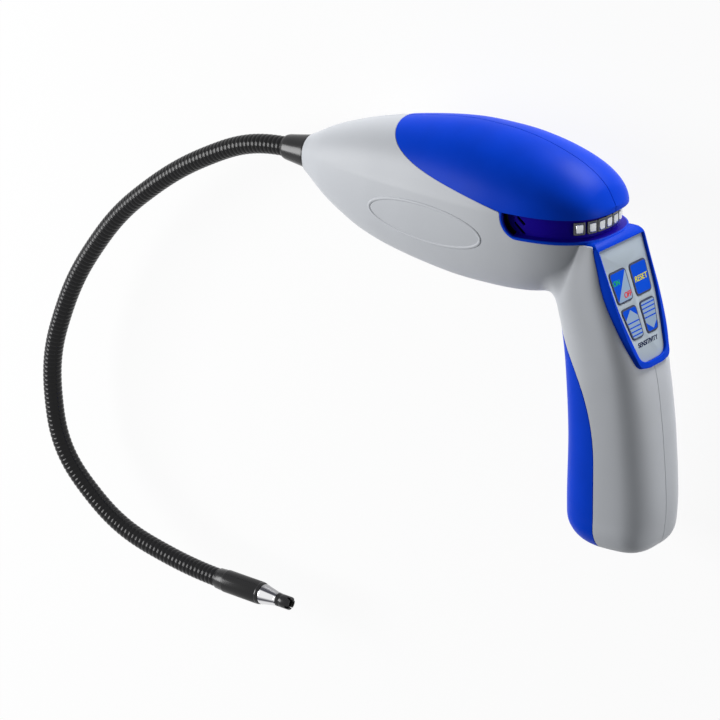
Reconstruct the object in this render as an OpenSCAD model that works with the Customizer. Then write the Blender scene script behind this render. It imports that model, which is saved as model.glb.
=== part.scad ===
// Refrigerant leak detector: pistol housing with a keypad console, a battery door and a bendable probe.
// X points to the rear, Y is the detector's own up, Z its left side; it lies on its right side on Z = 0.

/* [Body] */
// nose face to the rear of the dome
body_len = 180; // [170:1:190]
// greatest width of the housing
body_w = 65; // [58:0.5:74]
// nose axis to the crown of the dome
crown_h = 34; // [29:0.5:40]
// nose axis to the keel
keel_h = 44; // [40:0.5:48]
// outside diameter of the nose ring
nose_d = 16; // [15:0.5:20]
// rim of the dome over the nose axis
belt_y = 2; // [0:0.5:4]
// length of the rounded rear end
tail_len = 44; // [38:1:50]
// wall of the mouldings
wall = 2.4; // [1.8:0.1:3]
// gap between pieces that move past each other
gap = 0.3; // [0.25:0.05:0.5]

/* [Dome] */
// nose face to the front tip of the dome
dome_front = 61; // [50:1:75]
// how squarely the dome edge turns at its front corner
dome_corner = 15; // [8:1:22]

/* [Grip] */
// middle of the grip behind the rear end of the dome
grip_back = 6; // [0:1:14]
// depth of the grip, front to rear
grip_depth = 52; // [48:0.5:56]
// width of the grip
grip_w = 45; // [42:0.5:50]
// bottom of the grip below the battery bay
grip_foot = 9.5; // [7:0.5:20]
// nose axis to the top of the grip's loft inside the body
grip_top = 9; // [7:0.5:9.5]

/* [Console] */
// height of the recessed band under the dome
slot_h = 10; // [8:0.5:11]
// depth of the band behind the dome rim
slot_depth = 4; // [3:0.5:5]
// thickness of the lip under the band
lip_t = 2; // [1.5:0.1:2.5]
// lean of the keypad from the vertical
pad_lean = 20.3; // [17:0.1:22]
// centre of the keypad's upper edge behind the rear end of the dome
pad_back = 2; // [0:0.1:6]
// keypad's upper edge below the nose axis
pad_y = 12.2; // [11.5:0.1:14]
// length of the keypad overlay
pad_len = 58; // [54:0.5:62]
// width of the overlay at its upper edge
pad_w = 39; // [36:0.5:40]
// width of the overlay near its lower end
pad_w_low = 24; // [21:0.5:26]
// width of the blue rim at the overlay's lower end
rim_w = 3.6; // [3:0.1:5]
// width of the rim beside the overlay's upper end
rim_top = 1.1; // [0.8:0.1:2]
// height of the rim over the overlay
rim_h = 1.4; // [1:0.1:2.2]

/* [Keys] */
// upper edge of the first row from the overlay's upper edge
key_start = 12; // [11:0.5:13]
// height of a key
key_h = 15.6; // [14:0.1:16]
// spacing of the two rows
key_pitch = 18.4; // [17.5:0.1:19]
// half the strip between the two columns
key_mid = 1.6; // [1.2:0.1:2.2]
// margin between the keys and the overlay's edge
key_margin = 2.8; // [2.4:0.1:3.4]
// how far a key stands over the overlay
key_rise = 0.9; // [0.7:0.05:1.2]
// travel of a key
key_travel = 0.5; // [0.3:0.05:0.6]

/* [Lamps] */
// number of lamps
lamp_count = 7; // [5:1:9]
// step between lamps across the rear end
lamp_step = 5.8; // [5.5:0.1:7]
// width of a lamp
lamp_w = 4.8; // [4:0.1:5]
// height of a lamp
lamp_h = 5.8; // [4:0.1:6.4]

/* [Battery door] */
// how far the door's side edge lies in front of the grip's middle
door_back = 1.7; // [0:0.1:5]
// nose axis to the height where the side edge turns forward
door_turn = 120; // [112:1:128]

/* [Cells] */
// diameter of a cell
cell_d = 14.5; // [13.5:0.1:14.5]
// length of a cell
cell_len = 50.5; // [44:0.5:50.5]
// centre of the cells in front of the grip's middle
cell_back = 10.5; // [10:0.1:12]
// nose axis to the upper end of the cells
cell_top = 49; // [48.5:0.5:50]

/* [Probe] */
// diameter of the gooseneck
neck_d = 9.6; // [9:0.1:10]
// length of one gooseneck length between pivots
neck_seg = 50.8; // [46:0.2:54]
// bend of each length from nose to tip, degrees
neck_bends = [26.4, 11.7, 15.5, 15.3, 26.6, 42.8, 28.1, 10.1];
// diameter of the black sleeve at the tip
ferrule_d = 12; // [11.5:0.1:14]
// length of the sleeve
ferrule_len = 25; // [20:0.5:32]
// length of the plated sensor holder
holder_len = 10.5; // [8:0.5:14]
// diameter of the sensor holder at its thin end
holder_d = 7.4; // [7:0.1:8.5]
// length of the sensor cap
cap_len = 12; // [10:0.5:16]
// diameter of the sensor cap
cap_d = 7; // [6.4:0.1:8]
// length of the rubber boot at the nose
boot_len = 12; // [9:0.5:14]
// diameter of the boot at the nose
boot_d = 14.6; // [13:0.1:15]

/* [Fasteners] */
// diameter of the housing screws
screw_d = 3; // [2.5:0.1:3.5]
// diameter of a screw post
post_d = 7; // [6.4:0.1:8]

/* [Hidden] */
grey = [0.74, 0.76, 0.79];
blue = [0.02, 0.22, 0.68];
black = [0.07, 0.07, 0.08];
chrome = [0.82, 0.83, 0.85];
green = [0.10, 0.36, 0.20];
half_w = body_w / 2;
nose_r = nose_d / 2;
tail_x = body_len - tail_len;
grip_x = body_len + grip_back;
pad_x = body_len + pad_back;
contact_t = 0.6;
spring_h = 4;
bay_end = 2;
grip_drop = cell_top + 2 * cell_len + spring_h + bay_end + grip_foot;
far = 400;

// smooth curves through short tables
function span(t, x, i = 0) = i >= len(t) - 2 || x < t[i + 1][0] ? i : span(t, x, i + 1);
function rise(t, a, b) = (t[b][1] - t[a][1]) / (t[b][0] - t[a][0]);
function tangent(t, i) = i == 0 ? rise(t, 0, 1) :
  i == len(t) - 1 ? rise(t, i - 1, i) : rise(t, i - 1, i + 1);
function curve(t, x) = let (i = span(t, x), d = t[i + 1][0] - t[i][0], s = (x - t[i][0]) / d)
  (2 * s * s * s - 3 * s * s + 1) * t[i][1] + (s * s * s - 2 * s * s + s) * d * tangent(t, i)
  + (3 * s * s - 2 * s * s * s) * t[i + 1][1] + (s * s * s - s * s) * d * tangent(t, i + 1);
function bezier(p, s) = pow(1 - s, 3) * p[0] + 3 * s * pow(1 - s, 2) * p[1]
  + 3 * s * s * (1 - s) * p[2] + pow(s, 3) * p[3];
function power(v, n) = sign(v) * pow(abs(v), n);

// share of the growth from the nose ring to the full height, depth and width, along the body
crown_curve = [[0, 0], [0.06, 0.17], [0.14, 0.38], [0.25, 0.64], [0.39, 0.87], [0.54, 1], [0.65, 0.99],
  [0.73, 0.93], [0.82, 0.78], [0.91, 0.53], [0.97, 0.22], [1, -0.12]];
keel_curve = [[0, 0], [0.07, 0.25], [0.14, 0.47], [0.225, 0.68], [0.34, 0.84], [0.51, 0.97], [0.62, 1],
  [0.76, 0.98], [0.84, 0.9], [0.93, 0.7], [1, 0.35]];
side_curve = [[0, 0], [0.06, 0.17], [0.14, 0.35], [0.27, 0.56], [0.35, 0.66], [0.47, 0.8], [0.6, 0.92],
  [0.7, 0.98], [0.76, 1]];
body_stations = [0, 0.03, 0.08, 0.15, 0.24, 0.34, 0.45, 0.56, 0.66];
tail_angles = [0, 7, 17, 28, 40, 52, 63, 73, 81, 86.5];
tail_square = 2.6;
shoulder = 2.1;
flank = 2.5;
ring_points = 36;

// one cross-section of the body, inset by t, at u along it or at an angle a round its rear end
function body_ring(x, u, w, t) = let (belt = belt_y * min(1, u / 0.25),
    top = nose_r + (crown_h - nose_r) * curve(crown_curve, u) - t,
    low = nose_r + (keel_h - nose_r) * curve(keel_curve, u) - t)
  [for (i = [0 : ring_points - 1]) let (c = cos(360 * i / ring_points), s = sin(360 * i / ring_points),
    n = s >= 0 ? shoulder : flank)
    [x, belt + power(s, 2 / n) * (s >= 0 ? max(top - belt, 0.4) : low + belt), w * power(c, 2 / n)]];
function front_ring(u, t) = body_ring(u * body_len, u,
  nose_r + (half_w - nose_r) * curve(side_curve, u) - t, t);
function tail_at(a, t) = [tail_x + (tail_len - t) * power(sin(a), 2 / tail_square),
  (half_w - t) * power(cos(a), 2 / tail_square)];
function tail_ring(a, t) = body_ring(tail_at(a, t)[0], tail_at(a, 0)[0] / body_len, tail_at(a, t)[1], t);
function body_rings(t) = concat([for (u = body_stations) front_ring(u, t)],
  [for (a = tail_angles) tail_ring(a, t)]);

// the grip, by height: front and rear as shares of half the depth, side as a share of half the width
front_curve = [[0, -1.9], [0.0575, -1.8], [0.1423, -1.5], [0.1989, -1.3], [0.246, -1.2],
  [0.3026, -1.11], [0.4157, -1.02], [0.623, -0.945], [0.868, -0.96], [0.9246, -0.89], [0.9717, -0.62],
  [1, -0.08]];
rear_curve = [[0, -0.25], [0.0575, -0.12], [0.1329, 0.02], [0.246, 0.28], [0.3497, 0.56], [0.3968, 0.67],
  [0.4533, 0.755], [0.5382, 0.833], [0.623, 0.896], [0.8115, 0.988], [0.9058, 0.967], [0.9529, 0.885],
  [0.9811, 0.665], [1, 0.32]];
width_curve = [[0, 1.15], [0.0575, 1.14], [0.1989, 1.1], [0.3874, 1.01], [0.623, 1], [0.868, 0.97],
  [0.9246, 0.95], [0.9717, 0.72], [1, 0.34]];
grip_stations = [0, 0.058, 0.114, 0.161, 0.199, 0.237, 0.284, 0.35, 0.434, 0.529, 0.642, 0.755, 0.849,
  0.896, 0.934, 0.962, 0.986, 1];
grip_square = 2.5;
rear_least = 3.3;
function rear_square(v) = max(rear_least, 4.6 - 4.2 * v);
grip_points = 28;
function grip_y(v) = -grip_top - v * (grip_drop - grip_top);
function grip_front(v) = grip_x + grip_depth / 2 * curve(front_curve, v);
function grip_rear(v) = grip_x + grip_depth / 2 * curve(rear_curve, v);
function grip_ring(v, t) = let (f = grip_front(v) + t, r = grip_rear(v) - t,
    w = grip_w / 2 * curve(width_curve, v) - t)
  [for (i = [0 : grip_points - 1]) let (c = cos(360 * i / grip_points), s = sin(360 * i / grip_points),
    n = c > 0 ? rear_square(v) : grip_square)
    [(f + r) / 2 + (r - f) / 2 * power(c, 2 / n), grip_y(v) + (v > 0.98 ? t : 0), w * power(s, 2 / n)]];
function grip_rings(t) = [for (v = grip_stations) grip_ring(v, t)];

// edge of the dome and of the blue band, seen from the side
slot_low = belt_y - slot_h;
lip_low = slot_low - lip_t;
dome_edge = [[dome_front, crown_h + 2], [dome_front, dome_corner], [dome_front + 34, dome_corner - 5],
  [tail_x, belt_y]];
dome_line = [for (i = [0 : 12]) bezier(dome_edge, i / 12)];
slot_corner = 5.5;
slot_turn = [for (a = [180 : 15 : 270])
  [tail_x + slot_corner + slot_corner * cos(a), lip_low + slot_corner + slot_corner * sin(a)]];
blue_outline = concat(dome_line, slot_turn, [[far, lip_low], [far, far], [dome_front, far]]);
dome_outline = concat(dome_line, [[far, belt_y], [far, far], [dome_front, far]]);

// edge of the battery door, seen from the side
door_x = grip_x - door_back;
door_reach = grip_depth + 8;
door_rise = 56;
door_edge = [[door_x - 29.5, -door_turn + 75.5], [door_x - 16, -door_turn + 52], [door_x, -door_turn + 38],
  [door_x, -door_turn]];
function door_outline(e) = concat(e > 0 ? [door_edge[0] + e * [-0.2, 1.2]] : [],
  [for (i = [0 : 14]) bezier(door_edge, i / 14) + [e, e * 0.5]],
  [[door_x + e, -far], [door_x - door_reach, -far],
    [door_x - door_reach, -door_turn + door_rise + e * 1.5]]);

// edge of the keypad console in its own plane: distance down, half width
rim_curve = [[-12, pad_w / 2 + rim_top + 0.3], [0, pad_w / 2 + rim_top], [12, pad_w / 2 + rim_top - 0.6],
  [pad_len * 0.5, pad_w / 2 + rim_top - 1.2],
  [pad_len * 0.76, (pad_w + pad_w_low) / 4 + rim_w - 1.95], [pad_len * 0.93, pad_w_low / 2 + rim_w - 1],
  [pad_len + rim_w * 0.45, pad_w_low / 2 - 0.2], [pad_len + rim_w * 0.8, pad_w_low / 4]];
overlay_curve = [[0, pad_w / 2], [pad_len * 0.5, pad_w / 2 - 2], [pad_len * 0.9, pad_w_low / 2 + 0.4],
  [pad_len * 0.975, pad_w_low / 2 - 2], [pad_len, pad_w_low / 2 - 6]];
rim_stations = [-12, 0, 12, 22, 30, 38, 44, 49, pad_len * 0.93, pad_len * 0.98, pad_len + rim_w * 0.45,
  pad_len + rim_w * 0.8];
overlay_stations = [0, 10, 20, pad_len * 0.5, pad_len * 0.7, pad_len * 0.9, pad_len * 0.95, pad_len * 0.98,
  pad_len];
function shape(t, at, e) = concat([for (s = at) [s, curve(t, s) + e]],
  [for (i = [len(at) - 1 : -1 : 0]) [at[i], -curve(t, at[i]) - e]]);
tub_depth = 11;
overlay_t = 1;
floor_t = 2;
board_t = 1.6;
key_flange = 0.8;
switch_h = 0.9;
flange_at = overlay_t + floor_t + key_travel + 0.1;
board_at = flange_at + key_flange + key_travel + 0.1 + switch_h;

// pivots of the gooseneck: x, y, heading
neck_r = neck_d / 2;
collar_r = neck_r + 0.15;
neck_lead = 8;
neck_end = 6;
neck_start = [-neck_lead, 0, 180];
function arc_r(k) = (neck_seg - 2 * neck_end) / (neck_bends[k] * PI / 180);
function ahead(p, d) = [p[0] + d * cos(p[2]), p[1] + d * sin(p[2]), p[2]];
function turned(p, r, b) = [p[0] - r * sin(p[2]) + r * sin(p[2] + b),
  p[1] + r * cos(p[2]) - r * cos(p[2] + b), p[2] + b];
function along(p, k) = ahead(turned(ahead(p, neck_end), arc_r(k), neck_bends[k]), neck_end);
function pivot(k) = k == 0 ? neck_start : along(pivot(k - 1), k - 1);
tip = pivot(len(neck_bends));

// the whole frame: middle of the outer box at the origin, right flank on the floor
neck_trace = [for (k = [0 : len(neck_bends) - 1], i = [0 : 12])
  turned(ahead(pivot(k), neck_end), arc_r(k), neck_bends[k] * i / 12)];
box_front = min([for (p = neck_trace) p[0]]) - neck_r;
box_rear = max([for (v = grip_stations) grip_rear(v)]);
box_top = max([for (u = body_stations) nose_r + (crown_h - nose_r) * curve(crown_curve, u)]);
ferrule_from = ahead(tip, -8);
box_low = ahead(ferrule_from, ferrule_len)[1] - ferrule_d / 2;
origin = [-(box_front + box_rear) / 2, -(box_top + box_low) / 2, half_w];
$fa = 6;
$fs = 0.6;

module placed() {
  translate(origin) children();
}

// a closed skin between neighbouring rings
module slab(a, b) {
  n = len(a);
  hull() polyhedron(points = concat(a, b), faces = concat([[for (i = [0 : n - 1]) i]],
    [[for (i = [n - 1 : -1 : 0]) n + i]], [for (i = [0 : n - 1]) [(i + 1) % n, i, n + i, n + (i + 1) % n]]));
}

module loft(rings) {
  for (i = [0 : len(rings) - 2]) slab(rings[i], rings[i + 1]);
}

// the outer form of the housing, inset by t
module housing(t) {
  loft(body_rings(t));
  loft(grip_rings(t));
}

module side_prism(points) {
  translate([0, 0, -100]) linear_extrude(200) polygon(points);
}

// keypad frame: X to the right side, Y up the keypad, Z out of it
module on_pad() {
  translate([pad_x, -pad_y, 0]) rotate([0, 0, pad_lean]) rotate([0, 90, 0]) children();
}

module pad_prism(points, low, high) {
  on_pad() translate([0, 0, low]) linear_extrude(high - low) polygon([for (p = points) [-p[1], -p[0]]]);
}

module console_hole() {
  pad_prism(shape(rim_curve, rim_stations, 0), -tub_depth - 0.4, 30);
}

// screw posts as seen from the side, and the ribs that carry the inner pieces
posts = [[34, 2], [tail_x - 32, -28], [tail_x + 12, -26], [grip_x + 15, -cell_top - 43],
  [grip_x + 17, -cell_top - 89]];
screw_end = 12;
head_at = 10;
head_h = 2.2;
bulkhead = [10, 13];
rib_t = 2;
board_from = 50;
board_to = tail_x - 2;
board_ribs = [board_from + 12, board_to - 16];
tray_ribs = [-cell_top - 35, -cell_top - 91];
main_y = -14;
tray_x0 = grip_x - cell_back;
tray_x1 = max(grip_x - cell_back + cell_d / 2 + 2, door_x + gap + 0.6);
tray_hw = cell_d + 1.4;
tray_top = -cell_top + contact_t + bay_end;
tray_low = -cell_top - 2 * cell_len - spring_h - bay_end;

module half(side) {
  translate([-100, -300, side > 0 ? 0 : -100]) cube([500, 500, 100]);
}

module inner_ribs() {
  intersection() {
    housing(wall / 2);
    union() {
      for (x = board_ribs) translate([x, -far, -100]) cube([rib_t, far + main_y - board_t, 200]);
      translate([bulkhead[0], -50, -50]) cube([bulkhead[1] - bulkhead[0], 100, 100]);
      for (y = tray_ribs) translate([tray_x1, y, -100]) cube([80, rib_t, 200]);
    }
  }
}

module post_solids() {
  intersection() {
    housing(wall / 2);
    for (p = posts) translate([p[0], p[1], -body_w]) cylinder(d = post_d, h = 2 * body_w);
  }
}

module shell(side) {
  difference() {
    intersection() {
      union() {
        difference() {
          housing(0);
          housing(wall);
        }
        inner_ribs();
        post_solids();
      }
      half(side);
    }
    side_prism(blue_outline);
    side_prism(door_outline(gap));
    console_hole();
    translate([-1, 0, 0]) rotate([0, 90, 0]) cylinder(r = collar_r + 0.05, h = 30);
    translate([tray_x0, tray_low, -tray_hw]) cube([tray_x1 - tray_x0, tray_top - tray_low, 2 * tray_hw]);
    for (p = posts) translate([p[0], p[1], -body_w]) cylinder(d = screw_d + 0.2, h = body_w + screw_end);
    for (p = posts) translate([p[0], p[1], -body_w]) cylinder(d = screw_d * 2, h = body_w - head_at);
  }
}

module left_shell() {
  color(grey) placed() shell(1);
}

module right_shell() {
  color(grey) placed() shell(-1);
}

module dome(side) {
  intersection() {
    difference() {
      loft(body_rings(0));
      loft(body_rings(wall));
    }
    side_prism(dome_outline);
    half(side);
  }
}

module left_dome() {
  color(blue) placed() dome(1);
}

module right_dome() {
  color(blue) placed() dome(-1);
}

// the band under the dome: a channel that follows the rounded rear end and runs out at its front ends
half_tail = [0, 2, 4, 7, 11, 17, 24, 32, 40, 48, 56, 64, 71, 77, 82, 86];
whole_tail = concat(half_tail, [90], [for (i = [len(half_tail) - 1 : -1 : 0]) 180 - half_tail[i]]);
function ramp(a) = let (s = min(1, min(a, 180 - a) / 8)) s * s * (3 - 2 * s);
function tail_path(t) = [for (a = whole_tail) tail_at(a, t)];
function band_path(extra) = [for (a = whole_tail) tail_at(a, 0.4 + slot_depth * ramp(a) + extra)];
function back(list) = [for (i = [len(list) - 1 : -1 : 0]) list[i]];

module plan_plate(points, low, high) {
  translate([0, high, 0]) rotate([90, 0, 0]) linear_extrude(high - low)
    polygon([for (p = points) [p[0], p[1]]]);
}

band_a = tail_len - 0.4 - slot_depth;
band_b = half_w - 0.4 - slot_depth;

// X out of the band at each lamp
module lamp_places() {
  for (i = [0 : lamp_count - 1]) let (z = (i - (lamp_count - 1) / 2) * lamp_step, n = tail_square,
    x = pow(1 - pow(abs(z) / band_b, n), 1 / n))
    translate([tail_x + band_a * x, slot_low + slot_h * 0.46, z])
      rotate([0, -atan2(sign(z) * pow(abs(z) / band_b, n - 1) / band_b, pow(x, n - 1) / band_a), 0])
        children();
}

vent_at = [5.2, 9.6, 13.4];

module vent_places() {
  for (side = [1, -1], x = vent_at) translate([tail_x + x, slot_low + slot_h / 2, side * (half_w - 3)])
    rotate([0, 0, 32]) children();
}

slot_outline = concat(slot_turn, [[far, lip_low], [far, belt_y], [tail_x, belt_y]]);

module band() {
  difference() {
    intersection() {
      side_prism(slot_outline);
      union() {
        plan_plate(concat(band_path(0), back(band_path(wall - 0.4))), lip_low, belt_y);
        plan_plate(concat(tail_path(0.4), back(band_path(wall - 0.4))), belt_y - 1.4, belt_y);
        plan_plate(concat(tail_path(0), back(band_path(wall - 0.4))), lip_low, slot_low);
      }
    }
    lamp_places() translate([-6, -lamp_h / 2, -lamp_w / 2]) cube([12, lamp_h, lamp_w]);
    vent_places() translate([-0.8, -3.2, -8]) cube([1.6, 6.4, 16]);
  }
}

function key_outer(s) = curve(overlay_curve, s) - key_margin;
function key_shape(col, row, e) = let (a = key_start + row * key_pitch, b = a + key_h)
  [[a - e, col * (key_mid - e)], [a - e, col * (key_outer(a) + e)], [b + e, col * (key_outer(b) + e)],
    [b + e, col * (key_mid - e)]];
stand_at = [[6, 13], [6, -13], [50.5, 5], [50.5, -5]];

module console() {
  color(blue) placed() {
    band();
    intersection() {
      difference() {
        union() {
          pad_prism(shape(rim_curve, rim_stations, 0), -tub_depth, rim_h);
        }
        pad_prism(shape(overlay_curve, overlay_stations, 0), -overlay_t, 20);
        pad_prism(shape(rim_curve, rim_stations, -wall), -30, -overlay_t - floor_t);
        for (col = [1, -1], row = [0, 1]) pad_prism(key_shape(col, row, gap), -20, 20);
      }
      translate([0, -far, -100]) cube([far, far + lip_low + 0.6, 200]);
    }
    for (p = stand_at) pad_prism([for (a = [0 : 30 : 330]) [p[0] + 2 * cos(a), p[1] + 2 * sin(a)]],
      -board_at, -overlay_t - floor_t + 0.2);
  }
}

module keypad_overlay() {
  color([0.68, 0.73, 0.78]) placed() difference() {
    pad_prism(shape(overlay_curve, overlay_stations, -0.1), -overlay_t, 0);
    for (col = [1, -1], row = [0, 1]) pad_prism(key_shape(col, row, gap), -20, 20);
  }
}

module key(col, row) {
  color(blue) placed() {
    pad_prism(key_shape(col, row, 0), -flange_at - 0.1, key_rise);
    pad_prism(key_shape(col, row, 0.9), -flange_at - key_flange, -flange_at);
  }
}

module power_key() {
  key(1, 0);
}

module reset_key() {
  key(-1, 0);
}

module up_key() {
  key(1, 1);
}

module down_key() {
  key(-1, 1);
}

module keypad_board() {
  color(green) placed() pad_prism([[3, 17], [3, -17], [30, -15], [54, -9], [54, 9], [30, 15]],
    -board_at - board_t, -board_at);
}

module dome_switches() {
  color(chrome) placed() for (col = [1, -1], row = [0, 1])
    on_pad() translate([-col * (key_mid + key_outer(key_start + row * key_pitch + key_h / 2)) / 2,
      -(key_start + row * key_pitch + key_h / 2), -board_at]) cylinder(d1 = 6, d2 = 3.4, h = switch_h);
}

module leds() {
  color([0.9, 0.92, 0.95]) placed() lamp_places() translate([-1.6, -lamp_h / 2, -lamp_w / 2])
    cube([3.2, lamp_h, lamp_w]);
}

function strip_path(extra) = [for (a = whole_tail) if (a >= 40 && a <= 140)
  tail_at(a, 0.4 + slot_depth + extra)];
module led_strip() {
  color(green) placed() plan_plate(concat(strip_path(wall - 0.4), back(strip_path(wall + 0.6))),
    slot_low + 1, slot_low + slot_h * 0.8);
}

module main_board() {
  color(green) placed() {
    translate([board_from, main_y - board_t, -15]) cube([board_to - board_from, board_t, 30]);
    translate([board_from + 14, main_y - 0.1, -6]) cube([14, 2.6, 12]);
    translate([board_from + 38, main_y - 0.1, 2]) cube([9, 2.1, 9]);
    translate([board_from + 36, main_y - 0.1, -11]) cube([6, 5.1, 6]);
  }
}

sounder_d = 24;
sounder_h = 9;
sounder_hole = 4;

module sounder() {
  color(black) placed() difference() {
    translate([board_to - 16, main_y + sounder_h, 0]) rotate([90, 0, 0])
      cylinder(d = sounder_d, h = sounder_h);
    translate([board_to - 16, main_y + sounder_h + 1, 0]) rotate([90, 0, 0])
      cylinder(d = sounder_hole, h = 4);
  }
}

module battery_door() {
  color(blue) placed() intersection() {
    difference() {
      loft(grip_rings(0));
      loft(grip_rings(wall));
      translate([tray_x0 - gap, tray_low - gap, -tray_hw - gap])
        cube([tray_x1 - tray_x0 + 2 * gap, tray_top - tray_low, 2 * (tray_hw + gap)]);
    }
    side_prism(door_outline(0));
  }
}

module battery_tray() {
  color(black) placed() difference() {
    translate([tray_x0, tray_low, -tray_hw]) cube([tray_x1 - tray_x0, tray_top - tray_low, 2 * tray_hw]);
    for (s = [1, -1]) translate([grip_x - cell_back, tray_low + 2, s * (cell_d / 2 + 0.5)]) {
      rotate([-90, 0, 0]) cylinder(d = cell_d + 0.4, h = 2 * cell_len + spring_h + contact_t);
      translate([-40, 0, -cell_d / 2 - 0.2]) cube([40, 2 * cell_len + spring_h + contact_t, cell_d + 0.4]);
    }
  }
}

module cell(s, row) {
  y = -cell_top - (row + 1) * cell_len;
  color([0.2, 0.2, 0.22]) placed() translate([grip_x - cell_back, y, s * (cell_d / 2 + 0.5)])
    rotate([-90, 0, 0]) {
      cylinder(d = cell_d, h = cell_len - 1.5);
      cylinder(d = 5.5, h = cell_len);
    }
}

module cell_upper_left() {
  cell(1, 0);
}

module cell_upper_right() {
  cell(-1, 0);
}

module cell_lower_left() {
  cell(1, 1);
}

module cell_lower_right() {
  cell(-1, 1);
}

module battery_contacts() {
  color(chrome) placed() for (s = [1, -1]) {
    translate([grip_x - cell_back - 4, -cell_top, s * (cell_d / 2 + 0.5) - 5]) cube([8, contact_t, 10]);
    translate([grip_x - cell_back, tray_low + 2, s * (cell_d / 2 + 0.5)]) rotate([-90, 0, 0])
      cylinder(d1 = 9, d2 = 4, h = spring_h);
  }
}

module housing_screws() {
  color(chrome) placed() for (p = posts) translate([p[0], p[1], 0]) {
    translate([0, 0, -head_at]) cylinder(d = screw_d, h = head_at + screw_end - 1);
    difference() {
      translate([0, 0, -head_at - head_h]) cylinder(d = screw_d * 1.9, h = head_h);
      translate([-2, -0.4, -head_at - head_h - 0.1]) cube([4, 0.8, 1]);
      translate([-0.4, -2, -head_at - head_h - 0.1]) cube([0.8, 4, 1]);
    }
  }
}

// the probe, from the nose to the sensor
module probe_boot() {
  color(black) placed() translate([-boot_len, 0, 0]) rotate([0, 90, 0]) difference() {
    cylinder(d1 = neck_d + 2, d2 = boot_d, h = boot_len);
    translate([0, 0, -1]) cylinder(r = collar_r, h = boot_len + 2);
  }
}

module probe_nut() {
  color(chrome) placed() translate([bulkhead[1], 0, 0]) rotate([0, 90, 0]) difference() {
    cylinder(d = neck_d + 5, h = 5, $fn = 6);
    translate([0, 0, -1]) cylinder(r = collar_r, h = 8);
  }
}

ball_r = neck_r * 0.75;
stem_r = neck_r * 0.375;
seat_r = collar_r + gap;
cup_open = 62;

// ball at the far end of one length
module neck_ball() {
  lip_a = asin(collar_r / seat_r);
  stem_a = asin(stem_r / seat_r);
  rotate([0, 90, 0]) rotate_extrude() polygon(concat([[0, -1], [collar_r, -1]],
    [for (i = [0 : 6]) let (a = lip_a + (stem_a - lip_a) * i / 6)
      [seat_r * sin(a), neck_end - seat_r * cos(a)]], [[stem_r, neck_end], [0, neck_end]]));
  translate([neck_end, 0, 0]) sphere(r = ball_r);
}

// cup at the near end of the next length
module neck_cup() {
  difference() {
    rotate([0, 90, 0]) rotate_extrude() polygon(concat([[0, 0]],
      [for (i = [0 : 4]) let (a = cup_open + (90 - cup_open) * i / 4)
        [collar_r * sin(a), -collar_r * cos(a)]],
      [[collar_r, neck_end + 1], [0, neck_end + 1]]));
    sphere(r = ball_r + gap);
  }
}

module at_pivot(p) {
  translate([p[0], p[1], 0]) rotate([0, 0, p[2]]) children();
}

module gooseneck(k) {
  last = len(neck_bends) - 1;
  color(black) placed() {
    at_pivot(pivot(k)) {
      if (k == 0) translate([-neck_lead - bulkhead[1] - 9, 0, 0]) rotate([0, 90, 0])
        cylinder(r = collar_r, h = neck_lead + bulkhead[1] + 10 + neck_end);
      if (k > 0) neck_cup();
      translate([neck_end, arc_r(k), 0]) rotate([0, 0, -90]) rotate_extrude(angle = neck_bends[k])
        translate([arc_r(k), 0]) circle(r = neck_r);
    }
    at_pivot(turned(ahead(pivot(k), neck_end), arc_r(k), neck_bends[k])) {
      if (k < last) neck_ball();
      if (k == last) translate([-1, 0, 0]) rotate([0, 90, 0]) cylinder(r = collar_r, h = neck_end + 1);
    }
  }
}

module gooseneck_1() {
  gooseneck(0);
}

module gooseneck_2() {
  gooseneck(1);
}

module gooseneck_3() {
  gooseneck(2);
}

module gooseneck_4() {
  gooseneck(3);
}

module gooseneck_5() {
  gooseneck(4);
}

module gooseneck_6() {
  gooseneck(5);
}

module gooseneck_7() {
  gooseneck(6);
}

module gooseneck_8() {
  gooseneck(7);
}

module on_tip(d) {
  at_pivot(ahead(ferrule_from, d)) rotate([0, 90, 0]) children();
}

module tip_ferrule() {
  color(black) placed() on_tip(0) difference() {
    union() {
      cylinder(d1 = ferrule_d - 1.6, d2 = ferrule_d, h = 1.6);
      translate([0, 0, 1.6]) cylinder(d = ferrule_d, h = ferrule_len - 1.6);
    }
    translate([0, 0, -1]) cylinder(r = collar_r, h = 9);
    translate([0, 0, ferrule_len - 8]) cylinder(d = 8, h = 9);
  }
}

module sensor_holder() {
  color(chrome) placed() on_tip(ferrule_len) difference() {
    union() {
      translate([0, 0, -8]) cylinder(d = 8, h = 8);
      cylinder(d = ferrule_d - 1.2, h = 1.5);
      translate([0, 0, 1.5]) cylinder(d1 = ferrule_d - 1.6, d2 = holder_d, h = holder_len - 1.5);
    }
    translate([0, 0, -9]) cylinder(d = 4.4, h = holder_len + 10);
  }
}

module sensor_cap() {
  color(black) placed() on_tip(ferrule_len + holder_len) difference() {
    cylinder(d = cap_d, h = cap_len);
    translate([0, 0, -1]) cylinder(d = 4.4, h = cap_len + 2);
    for (a = [0, 90]) rotate([0, 0, a]) translate([-cap_d, -0.9, cap_len - 4.5]) cube([2 * cap_d, 1.8, 5]);
  }
}

module sensor_element() {
  color([0.85, 0.85, 0.8]) placed() on_tip(ferrule_len) {
    translate([0, 0, -7.5]) cylinder(d = 4.4, h = 8);
    translate([0, 0, 0]) cylinder(d = 2.6, h = holder_len + cap_len - 3);
  }
}

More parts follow.
